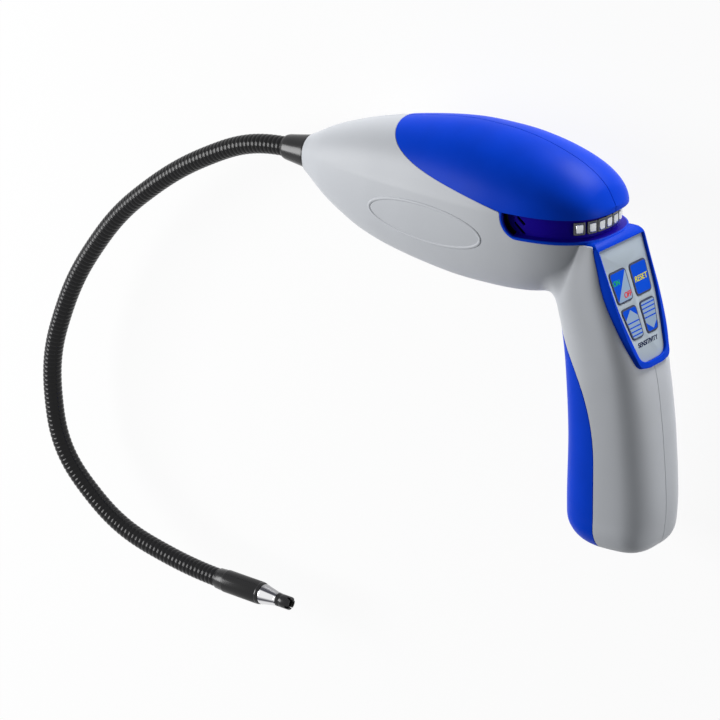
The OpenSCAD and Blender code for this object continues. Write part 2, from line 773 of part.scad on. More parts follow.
left_shell();
right_shell();
left_dome();
right_dome();
console();
keypad_overlay();
power_key();
reset_key();
up_key();
down_key();
keypad_board();
dome_switches();
leds();
led_strip();
main_board();
sounder();
battery_door();
battery_tray();
cell_upper_left();
cell_upper_right();
cell_lower_left();
cell_lower_right();
battery_contacts();
housing_screws();
probe_boot();
probe_nut();
gooseneck_1();
gooseneck_2();
gooseneck_3();
gooseneck_4();
gooseneck_5();
gooseneck_6();
gooseneck_7();
gooseneck_8();
tip_ferrule();
sensor_holder();
sensor_cap();
sensor_element();
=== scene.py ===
import math

import bmesh
import bpy
import numpy as np
from mathutils import Matrix, Vector


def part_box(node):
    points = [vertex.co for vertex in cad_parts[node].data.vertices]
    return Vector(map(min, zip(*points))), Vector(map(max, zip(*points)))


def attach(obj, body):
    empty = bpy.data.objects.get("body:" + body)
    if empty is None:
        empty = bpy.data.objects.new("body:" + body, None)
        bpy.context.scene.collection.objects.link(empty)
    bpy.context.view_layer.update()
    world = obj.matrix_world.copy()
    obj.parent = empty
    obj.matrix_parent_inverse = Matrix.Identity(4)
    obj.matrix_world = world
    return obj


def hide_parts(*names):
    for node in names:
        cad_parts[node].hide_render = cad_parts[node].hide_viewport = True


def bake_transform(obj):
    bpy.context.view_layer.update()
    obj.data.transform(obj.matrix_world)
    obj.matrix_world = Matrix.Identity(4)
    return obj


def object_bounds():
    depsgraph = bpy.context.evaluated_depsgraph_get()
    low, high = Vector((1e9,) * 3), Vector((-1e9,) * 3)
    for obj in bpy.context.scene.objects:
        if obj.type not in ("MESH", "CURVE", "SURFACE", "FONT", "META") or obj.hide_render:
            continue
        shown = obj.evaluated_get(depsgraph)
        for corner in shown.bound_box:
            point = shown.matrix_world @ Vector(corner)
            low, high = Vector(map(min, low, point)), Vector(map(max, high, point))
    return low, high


bl_info = {
    "name": "Leak detector",
    "version": (1, 0, 0),
    "blender": (4, 5, 0),
    "location": "View3D > Sidebar > Detector",
    "description": "Dresses the packed leak detector: housing, console, keys, lamps, gooseneck, "
                   "probe tip and stage",
    "category": "Object",
}

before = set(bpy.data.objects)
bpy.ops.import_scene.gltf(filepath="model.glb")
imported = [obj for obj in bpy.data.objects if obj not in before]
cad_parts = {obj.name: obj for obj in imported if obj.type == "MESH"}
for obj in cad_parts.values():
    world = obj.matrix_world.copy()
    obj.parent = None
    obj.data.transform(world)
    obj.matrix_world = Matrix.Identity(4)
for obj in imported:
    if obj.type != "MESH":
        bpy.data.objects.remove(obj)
CAD_LOW, CAD_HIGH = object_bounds()
MM = 0.001

# The nose frame of the part's source: millimetres, X to the rear, Y up, Z to the left, zero at the nose face.
BOOT_LOW, BOOT_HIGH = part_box("probe_boot")
NOSE = np.array([BOOT_HIGH.x, (BOOT_LOW.y + BOOT_HIGH.y) / 2, (BOOT_LOW.z + BOOT_HIGH.z) / 2]) / MM

# Sizes in millimetres, angles in degrees: the part's own, but for looks of nose, grip, band, keys and tip
BODY_LEN, HALF_W, CROWN_H, KEEL_H, NOSE_R, BELT_Y, TAIL_LEN, WALL = 180, 32.5, 34, 44, 8, 2, 44, 2.4
TAIL_X = BODY_LEN - TAIL_LEN
TAIL_SQUARE, SHOULDER, FLANK = 2.6, 2.1, 2.5
CROWN = [(0, 0), (.06, .2), (.14, .43), (.25, .665), (.39, .87), (.54, 1), (.65, .99), (.73, .93), (.82, .78),
         (.91, .53), (.97, .22), (1, -.12)]
KEEL = [(0, 0), (.07, .25), (.14, .47), (.225, .68), (.34, .84), (.51, .97), (.62, 1), (.76, .98), (.84, .9),
        (.93, .7), (1, .35)]
SIDE = [(0, 0), (.06, .17), (.14, .35), (.27, .56), (.35, .66), (.47, .8), (.6, .92), (.69, .985),
        (TAIL_X / BODY_LEN, 1)]
NOSE_CUT, NOSE_SNUB, SNUB_LEN, BELT_RISE, TIP_IN = 4, 0.07, 14, 0.25, 2
GRIP_X, GRIP_DEPTH, GRIP_W, GRIP_DROP, GRIP_TOP, GRIP_FOOT = 186, 52, 45, 165.5, 9, 6
GRIP_FRONT = [(0, -.66), (.0575, -.95), (.1067, -1.15), (.1423, -1.24), (.1989, -1.25), (.246, -1.18),
              (.3026, -1.1), (.4157, -1.02), (.623, -.945), (.868, -.96), (.9246, -.89), (.9717, -.62),
              (1, -.08)]
GRIP_REAR = [(0, -.15), (.0575, -.06), (.1329, .06), (.246, .34), (.3497, .58), (.3968, .68), (.4533, .755),
             (.5382, .833), (.623, .896), (.8115, .988), (.9058, .967), (.9529, .885), (.9811, .665), (1, .32)]
GRIP_SIDE = [(0, .942), (.0575, .96), (.1989, .982), (.3874, 1), (.623, 1), (.868, .97), (.9246, .95),
             (.9717, .72), (1, .34)]
GRIP_SQUARE, REAR_LEAST, REAR_MOST, REAR_EASE, REAR_TURN = 2.5, 3.3, 6.4, 7.2, 0.6
BODY_SIDES, GRIP_SIDES, GRIP_SPREAD = 168, 144, 2.8
FILLET_LEAST, FILLET_FALL, FILLET_TAIL, FILLET_FADE = 0.5, 25, 6, 16
FOLD_TALL, FOLD_FROM, FOLD_RISE, FOLD_SIDE = 5, 20, 55, 8
SLOT_LOW, LIP_LOW, SLOT_DEPTH, SLOT_LONG, SLOT_TALL, LIP_T = -8, -10, 4, 9.5, 10.5, 1.2
BAND_BACK, BAND_WALL = SLOT_DEPTH + 0.4, 0.8
VENTS = ((9.5, -5.5, 3.6), (10.3, -1.6, 2.2))
# CORNER_SHADE_REACH: how far back from the channel's front end the painted corner shadow reaches
VENT_LEAN, VENT_R, VENT_DEPTH, CORNER_SHADE_REACH = 52, 0.7, 1.5, 8
DOME_EDGE = [(59.4, 36), (59.4, 15), (94.4, 10), (136, 2)]
DOOR_X, DOOR_TURN, DOOR_AHEAD, DOOR_OVER = 184.3, 120, 60, 56
DOOR_EDGE = [(154.8, -44.5), (168.3, -68), (184.3, -82), (184.3, -120)]
LINE_SOFT = 0.8
PAD_AT, PAD_LEAN, PAD_LEN, PAD_CLEAR = (182, -12.2, 0), 20.3, 58, 30
RIM_H, RIM_DEEP, RIM_GAP = 1.4, 11, 0.4
RIM = [(-12, 20.9), (0, 20.6), (12, 20), (29, 19.4), (44.08, 17.4), (53.94, 14.6), (59.62, 11.8), (60.88, 6)]
OVERLAY = [(0, 19.5), (29, 17.5), (52.2, 12.4), (56.55, 10), (PAD_LEN, 6)]
KEYS = {"power": (1, 0), "reset": (-1, 0), "up": (1, 1), "down": (-1, 1)}
KEY_START, KEY_H, KEY_PITCH, KEY_MID, KEY_MARGIN, KEY_RISE = 12, 15.6, 18.4, 1.6, 2.8, .45
KEY_CORNER, KEY_GAP, KEY_LINE, BAR_HALF, PRINT_RISE = 2.2, 0.12, 0.6, 0.32, 0.03
PRINT_SLANT, PRINT_THICK, PRINT_GROW = 0.16, 0.02, 0.01
LAMP_COUNT, LAMP_STEP, LAMP_W, LAMP_H, LAMP_SHARE = 7, 5.8, 4.8, 5.8, 0.46
OVAL_AT, OVAL_HALF, OVAL_TILT = (88.9, -13.6), (35.4, 9.6), -0.7
OVAL_WIDE, OVAL_TALL, OVAL_SINK = 0.85, 0.5, 0.1
NECK_R, NECK_SEG, NECK_END, NECK_LEAD = 4.8, 50.8, 6, 8
NECK_BENDS = (26.4, 11.7, 15.5, 15.3, 26.6, 42.8, 28.1, 10.1)
NECK_IN, NECK_SOFT, NECK_STEP, NECK_OVER, NECK_BLEND = 3, 7, 0.5, 0.15, 24
RIB_STEP, RIB_SIDES, RIB_POWER = 0.25, 32, 3.2
FERRULE_LEN, FERRULE_D, HOLDER_LEN, HOLDER_D, CAP_LEN, CAP_D, TIP_BACK = 28.5, 12, 10, 7.4, 8.3, 7, 8
NOTCH_DEEP, NOTCH_HALF, NOTCH_TURN, CAP_BORE = 2.0, 0.65, 20, 2.25
# Painted reflection on the plated cone: angle round it in degrees, and how far its colour is darkened there
# toward near black
REFLECTION_BANDS = [(-180, .5), (-90, .3), (-26, .55), (16, .6), (30, .93), (42, .96), (48, .05), (82, .05), (94, .9),
           (102, .95), (112, .15), (150, .15), (180, .5)]
SIDE_CUT, FAR, WELD, NUDGE = 100, 400, 0.004, 0.02
SETTLE_ROUNDS, SEAM_STILL, LIP_STILL, MOVE_MOST = 6, 1.5, 3, 1.2

# Stage: the camera's axes and place, and each light's name, place from the middle in metres, size and watts
VIEW_RIGHT, VIEW_UP = Vector((0.8141, 0, -0.5807)), Vector((-0.1986, 0.9397, -0.2784))
VIEW_BACK = Vector((0.5457, 0.3420, 0.7650))
CAMERA_AT, CAMERA_LENS, CAMERA_SENSOR = (1133.6, 587.0, 1543.3), 203, 36
LIGHTS = (("top", VIEW_RIGHT * 0.53 + VIEW_UP * 0.845 + VIEW_BACK * 0.06, 0.4, 8.5),
          ("left", -VIEW_RIGHT + VIEW_UP * 0.08 + VIEW_BACK * 0.1, 0.55, 10.6),
          ("rear", Vector((1.0, 0.1, -0.25)), 0.4, 2.1))
FLOOR_HALF, FLOOR_WHITE = 4, 0.93

# Finishes: colour or its name in the panel, roughness, grain depth and size, unevenness, other values
FINISHES = {
    "grey plastic": ("grey", 0.42, 0.006, 0.7, 0.012, {"Specular IOR Level": 0.2}),
    "blue plastic": ("blue", 0.38, 0.006, 0.7, 0.04, {"Specular IOR Level": 0.045}),
    "black sleeve": ("black", 0.14, 0.004, 0.5, 0.1, {"Specular IOR Level": 0.2}),
    "black satin": ("black", 0.24, 0.006, 0.4, 0.1, {"Specular IOR Level": 0.34}),
    "plated": ((0.86, 0.86, 0.87), 0.1, 0, 0.8, 0.02, {"Metallic": 1.0}),
    "overlay film": ("film", 0.42, 0.004, 0.3, 0.02, {"Specular IOR Level": 0.25}),
    "print navy": ("navy", 0.36, 0.004, 0.3, 0.08, {}),
    "print blue": ((0.002, 0.08, 0.70), 0.42, 0.004, 0.3, 0.05, {"Specular IOR Level": 0.04}),
    "print light": ((0.30, 0.42, 0.58), 0.42, 0.004, 0.3, 0.03, {"Specular IOR Level": 0.2}),
    "print on": ((0.01, 0.42, 0.10), 0.4, 0, 0.8, 0.08, {"Specular IOR Level": 0.1}),
    "print off": ((0.75, 0.02, 0.02), 0.4, 0, 0.8, 0.08, {"Specular IOR Level": 0.1}),
    "print reset": ((0.78, 0.72, 0.02), 0.4, 0, 0.8, 0.08, {"Specular IOR Level": 0.1}),
    "print sensitivity": ("navy", 0.4, 0, 0.8, 0.08, {"Specular IOR Level": 0.1}),
    "smoked collar": ((0.05, 0.052, 0.06), 0.16, 0.01, 0.9, 0.3, {"Coat Weight": 0.5}),
    "lamp lens": ((0.70, 0.72, 0.74), 0.14, 0.02, 1.6, 0.3, {"Metallic": 0.6, "Coat Weight": 0.6}),
    "board mask": ((0.015, 0.13, 0.05), 0.32, 0.02, 1.2, 0.12, {}),
    "bright contacts": ((0.62, 0.61, 0.58), 0.3, 0.01, 0.6, 0.06, {"Metallic": 1.0}),
    "cell wrap": ((0.03, 0.032, 0.04), 0.28, 0.004, 0.6, 0.1, {}),
    "ceramic": ((0.72, 0.70, 0.64), 0.6, 0.02, 0.5, 0.06, {}),
}
INSIDE = {"board mask": ("keypad_board", "led_strip", "main_board"),
          "bright contacts": ("dome_switches", "battery_contacts", "housing_screws", "probe_nut"),
          "black satin": ("sounder", "battery_tray"), "ceramic": ("sensor_element",),
          "cell wrap": ("cell_upper_left", "cell_upper_right", "cell_lower_left", "cell_lower_right")}


class DetectorSizes(bpy.types.PropertyGroup):
    """Sizes of the looks that the part's source leaves open, in millimetres."""
    edge: bpy.props.FloatProperty(
        name="Edge radius", description="Rounding of the moulded edges", default=0.3)
    seam: bpy.props.FloatProperty(
        name="Seam", description="Half the gap between two mouldings", default=0.06)
    fillet: bpy.props.FloatProperty(
        name="Fillet", description="Reach of the fillet between body and grip", default=8)
    crease: bpy.props.FloatProperty(
        name="Crease", description="Depth of the fold along the flank", default=0.5)
    brow: bpy.props.FloatProperty(
        name="Brow radius", description="Rounding of the edge over the keypad", default=4.0)
    rib_pitch: bpy.props.FloatProperty(
        name="Rib pitch", description="Spacing of the gooseneck ribs", default=2.5)
    rib_depth: bpy.props.FloatProperty(
        name="Rib depth", description="Depth of the grooves between ribs", default=0.32)


class DetectorColours(bpy.types.PropertyGroup):
    """Colours of the finishes, linear."""
    grey: bpy.props.FloatVectorProperty(
        name="Grey", description="Housing plastic", subtype="COLOR", size=3, default=(0.60, 0.62, 0.655))
    blue: bpy.props.FloatVectorProperty(
        name="Blue", description="Dome, console and door", subtype="COLOR", size=3,
        default=(0.001, 0.056, 0.68))
    film: bpy.props.FloatVectorProperty(
        name="Film", description="Keypad overlay", subtype="COLOR", size=3, default=(0.46, 0.53, 0.59))
    navy: bpy.props.FloatVectorProperty(
        name="Navy", description="Printed outlines", subtype="COLOR", size=3, default=(0.004, 0.012, 0.06))
    black: bpy.props.FloatVectorProperty(
        name="Black", description="Probe", subtype="COLOR", size=3, default=(0.004, 0.004, 0.005))


def sizes():
    return bpy.context.scene.detector_sizes


def colours():
    return bpy.context.scene.detector_colours


# Curves and forms
def along(table, x, level_end=False):
    """Smooth curve through a short table, as in the part's source, or with a level end."""
    table = np.asarray(table, float)
    k, v = table[:, 0], table[:, 1]
    slope = np.empty_like(v)
    slope[0] = (v[1] - v[0]) / (k[1] - k[0])
    slope[-1] = 0 if level_end else (v[-1] - v[-2]) / (k[-1] - k[-2])
    slope[1:-1] = (v[2:] - v[:-2]) / (k[2:] - k[:-2])
    x = np.asarray(x, float)
    i = np.clip(np.searchsorted(k, x, side="right") - 1, 0, len(k) - 2)
    d = k[i + 1] - k[i]
    s = (x - k[i]) / d
    return ((2 * s**3 - 3 * s**2 + 1) * v[i] + (s**3 - 2 * s**2 + s) * d * slope[i]
            + (3 * s**2 - 2 * s**3) * v[i + 1] + (s**3 - s**2) * d * slope[i + 1])


def bezier(points, count):
    p = np.asarray(points, float)
    s = np.linspace(0, 1, count)[:, None]
    return (1 - s)**3 * p[0] + 3 * s * (1 - s)**2 * p[1] + 3 * s**2 * (1 - s) * p[2] + s**3 * p[3]


def power(v, n):
    return np.sign(v) * np.abs(v)**n


def step(x):
    """Smooth rise from 0 to 1 while x does the same."""
    x = np.clip(x, 0, 1)
    return x * x * (3 - 2 * x)


def cos_sin(degrees):
    return math.cos(math.radians(degrees)), math.sin(math.radians(degrees))


def spaced(points, gap):
    """The same line with points a fixed distance apart."""
    p = np.asarray(points, float)
    d = np.concatenate([[0], np.cumsum(np.linalg.norm(np.diff(p, axis=0), axis=1))])
    at = np.linspace(0, d[-1], max(2, int(round(d[-1] / gap)) + 1))
    return np.stack([np.interp(at, d, p[:, i]) for i in range(p.shape[1])], axis=1)


def softened(points, reach, gap=0.4):
    """A line with its corners rounded over about reach, its ends kept."""
    p = spaced(points, gap)
    n = max(1, int(reach / gap))
    kernel = np.exp(-0.5 * (np.arange(-2 * n, 2 * n + 1) / n)**2)
    kernel /= kernel.sum()
    head = 2 * p[0] - p[1:2 * n + 1][::-1]
    tail = 2 * p[-1] - p[-2 * n - 1:-1][::-1]
    long = np.concatenate([head, p, tail])
    return np.stack([np.convolve(long[:, i], kernel, "valid") for i in range(2)], axis=1)


def shifted(points, by):
    """A line moved to its left by a distance."""
    t = np.gradient(points, axis=0)
    t /= np.linalg.norm(t, axis=1)[:, None]
    return points + by * np.stack([-t[:, 1], t[:, 0]], axis=1)


def body_parts(x):
    """Half width, belt, crown and keel of the body at x."""
    u = np.clip(x / BODY_LEN, 0, 1)
    front = NOSE_R + (HALF_W - NOSE_R) * along(SIDE, np.minimum(u, TAIL_X / BODY_LEN), True)
    q = np.clip((x - TAIL_X) / TAIL_LEN, 0, 1)
    rear = HALF_W * (1 - q**TAIL_SQUARE)**(1 / TAIL_SQUARE)
    belt = BELT_Y * np.minimum(1, u / BELT_RISE)
    top = NOSE_R + (CROWN_H - NOSE_R) * along(CROWN, u)
    low = NOSE_R + (KEEL_H - NOSE_R) * along(KEEL, u)
    snub = 1 - NOSE_SNUB * (1 - step((x - NOSE_CUT) / SNUB_LEN))
    half = np.where(x < TAIL_X, front, rear)
    return half * snub, belt, np.maximum(top - belt, 0.4) * snub, (low + belt) * snub


def body_share(x, y):
    w, belt, up, down = body_parts(x)
    upper = y >= belt
    return w, np.where(upper, (y - belt) / up, (belt - y) / down), np.where(upper, SHOULDER, FLANK)


def grip_parts(y):
    """Front, rear, half width and rear squareness of the grip at a height."""
    v = np.clip((-GRIP_TOP - y) / (GRIP_DROP - GRIP_TOP), 0, 1)
    half = GRIP_DEPTH / 2
    return (GRIP_X + half * along(GRIP_FRONT, v), GRIP_X + half * along(GRIP_REAR, v),
            GRIP_W / 2 * along(GRIP_SIDE, v), np.maximum(REAR_LEAST, REAR_MOST - REAR_EASE * v))


def grip_power(c, square):
    """Squareness round the grip: its own in front, passing into the rear's."""
    return GRIP_SQUARE + (square - GRIP_SQUARE) * step(c / REAR_TURN)


def grip_share(x, y):
    f, r, w, square = grip_parts(y)
    c = (x - (f + r) / 2) / ((r - f) / 2)
    return w, np.abs(c), grip_power(c, square)


def form_field(share, p):
    """0 on a form's surface and less inside; share gives half width, place in the section and power."""
    w, t, n = share(p[:, 0], p[:, 1])
    return ((np.abs(p[:, 2]) / np.maximum(w, 0.05))**n + t**n)**(1 / n) - 1


def body_field(p):
    return form_field(body_share, p)


def grip_field(p):
    return form_field(grip_share, p)


def slope_of(field, p):
    """Gradient of a field at points."""
    g = np.empty_like(p)
    for i in range(3):
        d = np.zeros(3)
        d[i] = NUDGE
        g[:, i] = (field(p + d) - field(p - d)) / (2 * NUDGE)
    return g


def unit(v):
    return v / np.maximum(np.linalg.norm(v, axis=1), 1e-9)[:, None]


def distance(field, p):
    """About how far points lie outside a form."""
    return np.clip(field(p) / np.maximum(np.linalg.norm(slope_of(field, p), axis=1), 1e-4), -40, 80)


def blunt(a, b, reach):
    """The greater of two distances, rounded where they cross."""
    return np.maximum(a, b) + reach / 4 * np.clip(1 - np.abs(a - b) / reach, 0, 1)**2


def housing_distance(p):
    """Body and grip joined with a fillet, with the fold along the belt."""
    beyond = np.maximum(p[:, 0] - BODY_LEN + TIP_IN, 0)
    near = distance(body_field, p - beyond[:, None] * (1, 0, 0))
    body = np.where(near > 0, np.hypot(near, beyond), near + beyond)
    body = np.maximum(body, -KEEL_H - p[:, 1])
    grip = np.maximum(distance(grip_field, p), p[:, 1] + 1)
    grip = blunt(grip, -GRIP_DROP - p[:, 1], GRIP_FOOT)
    lower = step((LIP_LOW - p[:, 1]) / FILLET_FALL)
    ahead = step((BODY_LEN - FILLET_TAIL - p[:, 0]) / FILLET_FADE)
    reach = FILLET_LEAST + (sizes().fillet - FILLET_LEAST) * lower * ahead
    joined = np.minimum(body, grip) - reach / 4 * np.clip(1 - np.abs(body - grip) / reach, 0, 1)**2
    q = np.clip((p[:, 1] - body_parts(p[:, 0])[1]) / FOLD_TALL, 0, 50)
    rise = step((p[:, 0] - FOLD_FROM) / FOLD_RISE)
    return joined + sizes().crease * rise * q * np.exp(1 - q) * step(np.abs(p[:, 2]) / FOLD_SIDE)


def settle_on_housing(p):
    """Moves points of the plain union onto the filleted form."""
    p = p.copy()
    for turn in range(SETTLE_ROUNDS):
        g = slope_of(housing_distance, p)
        g[:, 2] = np.where(np.abs(p[:, 2]) < SEAM_STILL, 0, g[:, 2])
        g[:, 1] *= np.where(p[:, 0] > TAIL_X, step((LIP_LOW - 0.5 - p[:, 1]) / LIP_STILL), 1)
        move = housing_distance(p)[:, None] * g / np.maximum((g * g).sum(axis=1), 0.2)[:, None]
        p -= np.clip(move, -MOVE_MOST, MOVE_MOST)
    return p


# Meshes
def linked(name, data):
    """A new object in the scene."""
    made = bpy.data.objects.new(name, data)
    bpy.context.scene.collection.objects.link(made)
    return made


def baked(made):
    """An object's mesh with its modifiers applied."""
    return bpy.data.meshes.new_from_object(made.evaluated_get(bpy.context.evaluated_depsgraph_get()))


def dropped(made):
    """Removes an object and its mesh."""
    mesh = made.data
    bpy.data.objects.remove(made)
    bpy.data.meshes.remove(mesh)


def shaded(mesh, angle):
    """Smooth shading, with edges sharper than an angle left hard."""
    mesh.polygons.foreach_set("use_smooth", [True] * len(mesh.polygons))
    mesh.set_sharp_from_angle(angle=math.radians(angle))


def to_row(points):
    """Nose frame in millimetres to the row frame in metres."""
    return (np.asarray(points, float) + NOSE) * MM


def solid(points, faces, mark=0):
    """A working mesh in millimetres; mark 1 is for faces that only cut."""
    mesh = bpy.data.meshes.new("work")
    mesh.from_pydata([tuple(p) for p in points], [], [tuple(f) for f in faces])
    for name in ("kept", "cut"):
        mesh.materials.append(bpy.data.materials.get(name) or bpy.data.materials.new(name))
    mesh.polygons.foreach_set("material_index", [mark] * len(mesh.polygons))
    return mesh


def grid(rows, columns, closed=False):
    """Faces of a net of points whose rows are rings; closed joins its last row to its first."""
    faces = []
    for i in range(rows if closed else rows - 1):
        for j in range(columns):
            a, b, k = i * columns, (i + 1) % rows * columns, (j + 1) % columns
            faces.append((a + j, a + k, b + k, b + j))
    return faces


def loft(rings):
    """A closed solid through rings of equal length."""
    rings = np.asarray(rings)
    s, r = rings.shape[:2]
    faces = grid(s, r)
    faces.append(tuple(range(r - 1, -1, -1)))
    faces.append(tuple((s - 1) * r + j for j in range(r)))
    mesh = solid(rings.reshape(-1, 3), faces)
    outward(mesh)
    return mesh


def outward(mesh):
    """Turns a mesh's faces outward."""
    bm = bmesh.new()
    bm.from_mesh(mesh)
    bmesh.ops.recalc_face_normals(bm, faces=bm.faces)
    bm.to_mesh(mesh)
    bm.free()


def circle(sides):
    """Cosine and sine round a section, half a step off the axes."""
    angle = 2 * np.pi * (np.arange(sides) + 0.5) / sides
    return np.cos(angle), np.sin(angle)


def body_solid():
    tail = TAIL_X + TAIL_LEN * np.sin(np.radians(np.linspace(0, 89.7, 60)))**(2 / TAIL_SQUARE)
    xs = np.concatenate([np.linspace(NOSE_CUT, 15, 20)[:-1], np.linspace(15, TAIL_X, 84)[:-1], tail])
    c, s = circle(BODY_SIDES)
    rings = []
    for x in xs:
        w, belt, up, down = (float(v) for v in body_parts(np.array(x)))
        n = np.where(s >= 0, SHOULDER, FLANK)
        rings.append(np.stack([np.full_like(c, x), belt + power(s, 2 / n) * np.where(s >= 0, up, down),
                               w * power(c, 2 / n)], axis=1))
    return loft(rings)


def grip_solid():
    foot = 1 - 0.14 * np.cos(np.linspace(0, np.pi / 2, 36))
    v = np.concatenate([np.linspace(0, 0.86, 90)[:-1], foot])
    c, s = circle(GRIP_SIDES)
    rings = []
    for y in -GRIP_TOP - v * (GRIP_DROP - GRIP_TOP):
        f, r, w, square = (float(a) for a in grip_parts(np.array(y)))
        t = power(c, 2 / GRIP_SPREAD)
        n = grip_power(t, square)
        rings.append(np.stack([(f + r) / 2 + (r - f) / 2 * t, np.full_like(c, y),
                               w * np.sign(s) * (1 - np.abs(t)**n)**(1 / n)], axis=1))
    return loft(rings)


def prism(outline, place, low, high):
    """A cutter: an outline pushed from low to high, with place giving its points in the nose frame."""
    n = len(outline)
    points = [place(p[0], p[1], low) for p in outline] + [place(p[0], p[1], high) for p in outline]
    faces = [tuple(range(n - 1, -1, -1)), tuple(range(n, 2 * n))]
    faces += [(i, (i + 1) % n, n + (i + 1) % n, n + i) for i in range(n)]
    mesh = solid(points, faces, 1)
    outward(mesh)
    return mesh


def side_cutter(outline):
    """A cutter through the whole width, from an outline seen from the side."""
    return prism(outline, lambda x, y, z: (x, y, z), -SIDE_CUT, SIDE_CUT)


PAD_N = np.array([*cos_sin(PAD_LEAN), 0])
PAD_S = np.array([PAD_N[1], -PAD_N[0], 0])


def pad_place(s, q, n):
    """Keypad frame: s down the keypad, q to the left, n out of it."""
    return tuple(np.array(PAD_AT) + s * PAD_S + np.array([0, 0, q]) + n * PAD_N)


def combine(a, b, how):
    """Boolean of two working meshes; both are used up."""
    first, second = linked("work_a", a), linked("work_b", b)
    cut = first.modifiers.new("op", "BOOLEAN")
    cut.operation = how
    cut.solver = "EXACT"
    cut.object = second
    made = baked(first)
    dropped(first)
    dropped(second)
    return made


def skin(mesh, keep_left=None, drop=None):
    """The kept faces of a cut solid as an open surface, without what lies right of keep_left if given."""
    bm = bmesh.new()
    bm.from_mesh(mesh)
    bpy.data.meshes.remove(mesh)
    gone = [f for f in bm.faces
            if f.material_index == 1 or (drop is not None and drop(f.calc_center_median()))]
    bmesh.ops.delete(bm, geom=gone, context="FACES")
    if keep_left is not None:
        bmesh.ops.bisect_plane(bm, geom=bm.verts[:] + bm.edges[:] + bm.faces[:], plane_co=(0, 0, keep_left),
                               plane_no=(0, 0, 1), clear_inner=True)
    bmesh.ops.remove_doubles(bm, verts=bm.verts, dist=WELD)
    bmesh.ops.dissolve_degenerate(bm, edges=bm.edges, dist=WELD)
    loose = [v for v in bm.verts if not v.link_faces]
    bmesh.ops.delete(bm, geom=loose, context="VERTS")
    bm.verts.index_update()
    points = np.array([v.co for v in bm.verts])
    faces = [tuple(v.index for v in f.verts) for f in bm.faces]
    rim = {}
    for e in bm.edges:
        if e.is_boundary:
            start = e.link_loops[0]
            rim.setdefault(start.vert.index, start.link_loop_next.vert.index)
    bm.free()
    return points, faces, rim


def thick(points, faces, rim, normals, wall, edge):
    """A moulded wall from an open skin: rounded rim, inner face, and a normal for every corner."""
    count = len(points)
    before = {b: a for a, b in rim.items()}
    on_rim = np.array(sorted(set(rim) | set(before)))
    place = {v: i for i, v in enumerate(on_rim)}
    out = np.zeros((len(on_rim), 3))
    for v in on_rim:
        ahead = points[rim[v]] - points[v] if v in rim else np.zeros(3)
        behind = points[v] - points[before[v]] if v in before else np.zeros(3)
        t = ahead / max(np.linalg.norm(ahead), 1e-9) + behind / max(np.linalg.norm(behind), 1e-9)
        b = np.cross(t, normals[v])
        out[place[v]] = b / max(np.linalg.norm(b), 1e-9)
    n = normals[on_rim]
    rings, turned = [], []
    for a in (30, 60, 90):
        c, s = cos_sin(a)
        rings.append(points[on_rim] + out * edge * s - n * edge * (1 - c))
        turned.append(n * c + out * s)
    inner = points - normals * wall
    inner[on_rim] = points[on_rim] + out * edge - n * wall
    all_points = np.concatenate([points, inner] + rings)
    all_faces = list(faces)
    corners = [normals[list(f)] for f in faces]
    for f in faces:
        all_faces.append(tuple(i + count for i in reversed(f)))
        corners.append(-normals[list(reversed(f))])

    def ring(k, v):
        return v if k < 0 else 2 * count + k * len(on_rim) + place[v]

    def turn(k, v):
        return normals[v] if k < 0 else turned[k][place[v]]

    for a, b in rim.items():
        for k in range(-1, 2):
            all_faces.append((ring(k, b), ring(k, a), ring(k + 1, a), ring(k + 1, b)))
            corners.append(np.array([turn(k, b), turn(k, a), turn(k + 1, a), turn(k + 1, b)]))
        all_faces.append((ring(2, b), ring(2, a), a + count, b + count))
        corners.append(np.array([turn(2, b), turn(2, a), turn(2, a), turn(2, b)]))
    return all_points, all_faces, np.concatenate(corners)


def mirrored(points, faces, corners):
    """The same piece on the other side."""
    flip = np.array([1, 1, -1])
    turned, at = [], 0
    for f in faces:
        turned.append(corners[at:at + len(f)][::-1] * flip)
        at += len(f)
    return points * flip, [tuple(reversed(f)) for f in faces], np.concatenate(turned)


def piece(name, points, faces, material, corners=None, smooth=True, more=(), marks=None):
    """A shown object in the row frame; marks choose among material and more, face by face."""
    mesh = bpy.data.meshes.new(name)
    mesh.from_pydata([tuple(p) for p in to_row(points)], [], [tuple(f) for f in faces])
    mesh.polygons.foreach_set("use_smooth", [smooth] * len(mesh.polygons))
    if corners is not None:
        mesh.normals_split_custom_set([tuple(c) for c in corners])
    for paint in (material, *more):
        mesh.materials.append(paint)
    if marks is not None:
        mesh.polygons.foreach_set("material_index", marks)
    return linked(name, mesh)


def show(made, body, slot, *nodes):
    """Rides on a body and stands for CAD nodes; slot is not used."""
    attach(made, body)
    if nodes:
        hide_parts(*nodes)
    return made


def settled(made):
    """Applies an object's modifiers to its mesh."""
    mesh = baked(made)
    made.modifiers.clear()
    old = made.data
    made.data = mesh
    bpy.data.meshes.remove(old)
    mesh.name = made.name
    return made


def rounded(made, width, segments=3, angle=35):
    """Rounds an object's hard edges; width in millimetres."""
    mod = made.modifiers.new("edges", "BEVEL")
    mod.width = width * MM
    mod.segments = segments
    mod.limit_method = "ANGLE"
    mod.angle_limit = math.radians(angle)
    mod.harden_normals = False
    made = settled(made)
    shaded(made.data, 50)
    return made


def from_work(name, mesh, material):
    """A working mesh in millimetres as a shown object."""
    points = np.array([v.co for v in mesh.vertices])
    faces = [tuple(p.vertices) for p in mesh.polygons]
    bpy.data.meshes.remove(mesh)
    return piece(name, points, faces, material, smooth=False)


def tip_axes(heading):
    """Along, up and left of a direction in the centre plane."""
    c, s = cos_sin(heading)
    return np.array([c, s, 0]), np.array([-s, c, 0]), np.array([0, 0, 1])


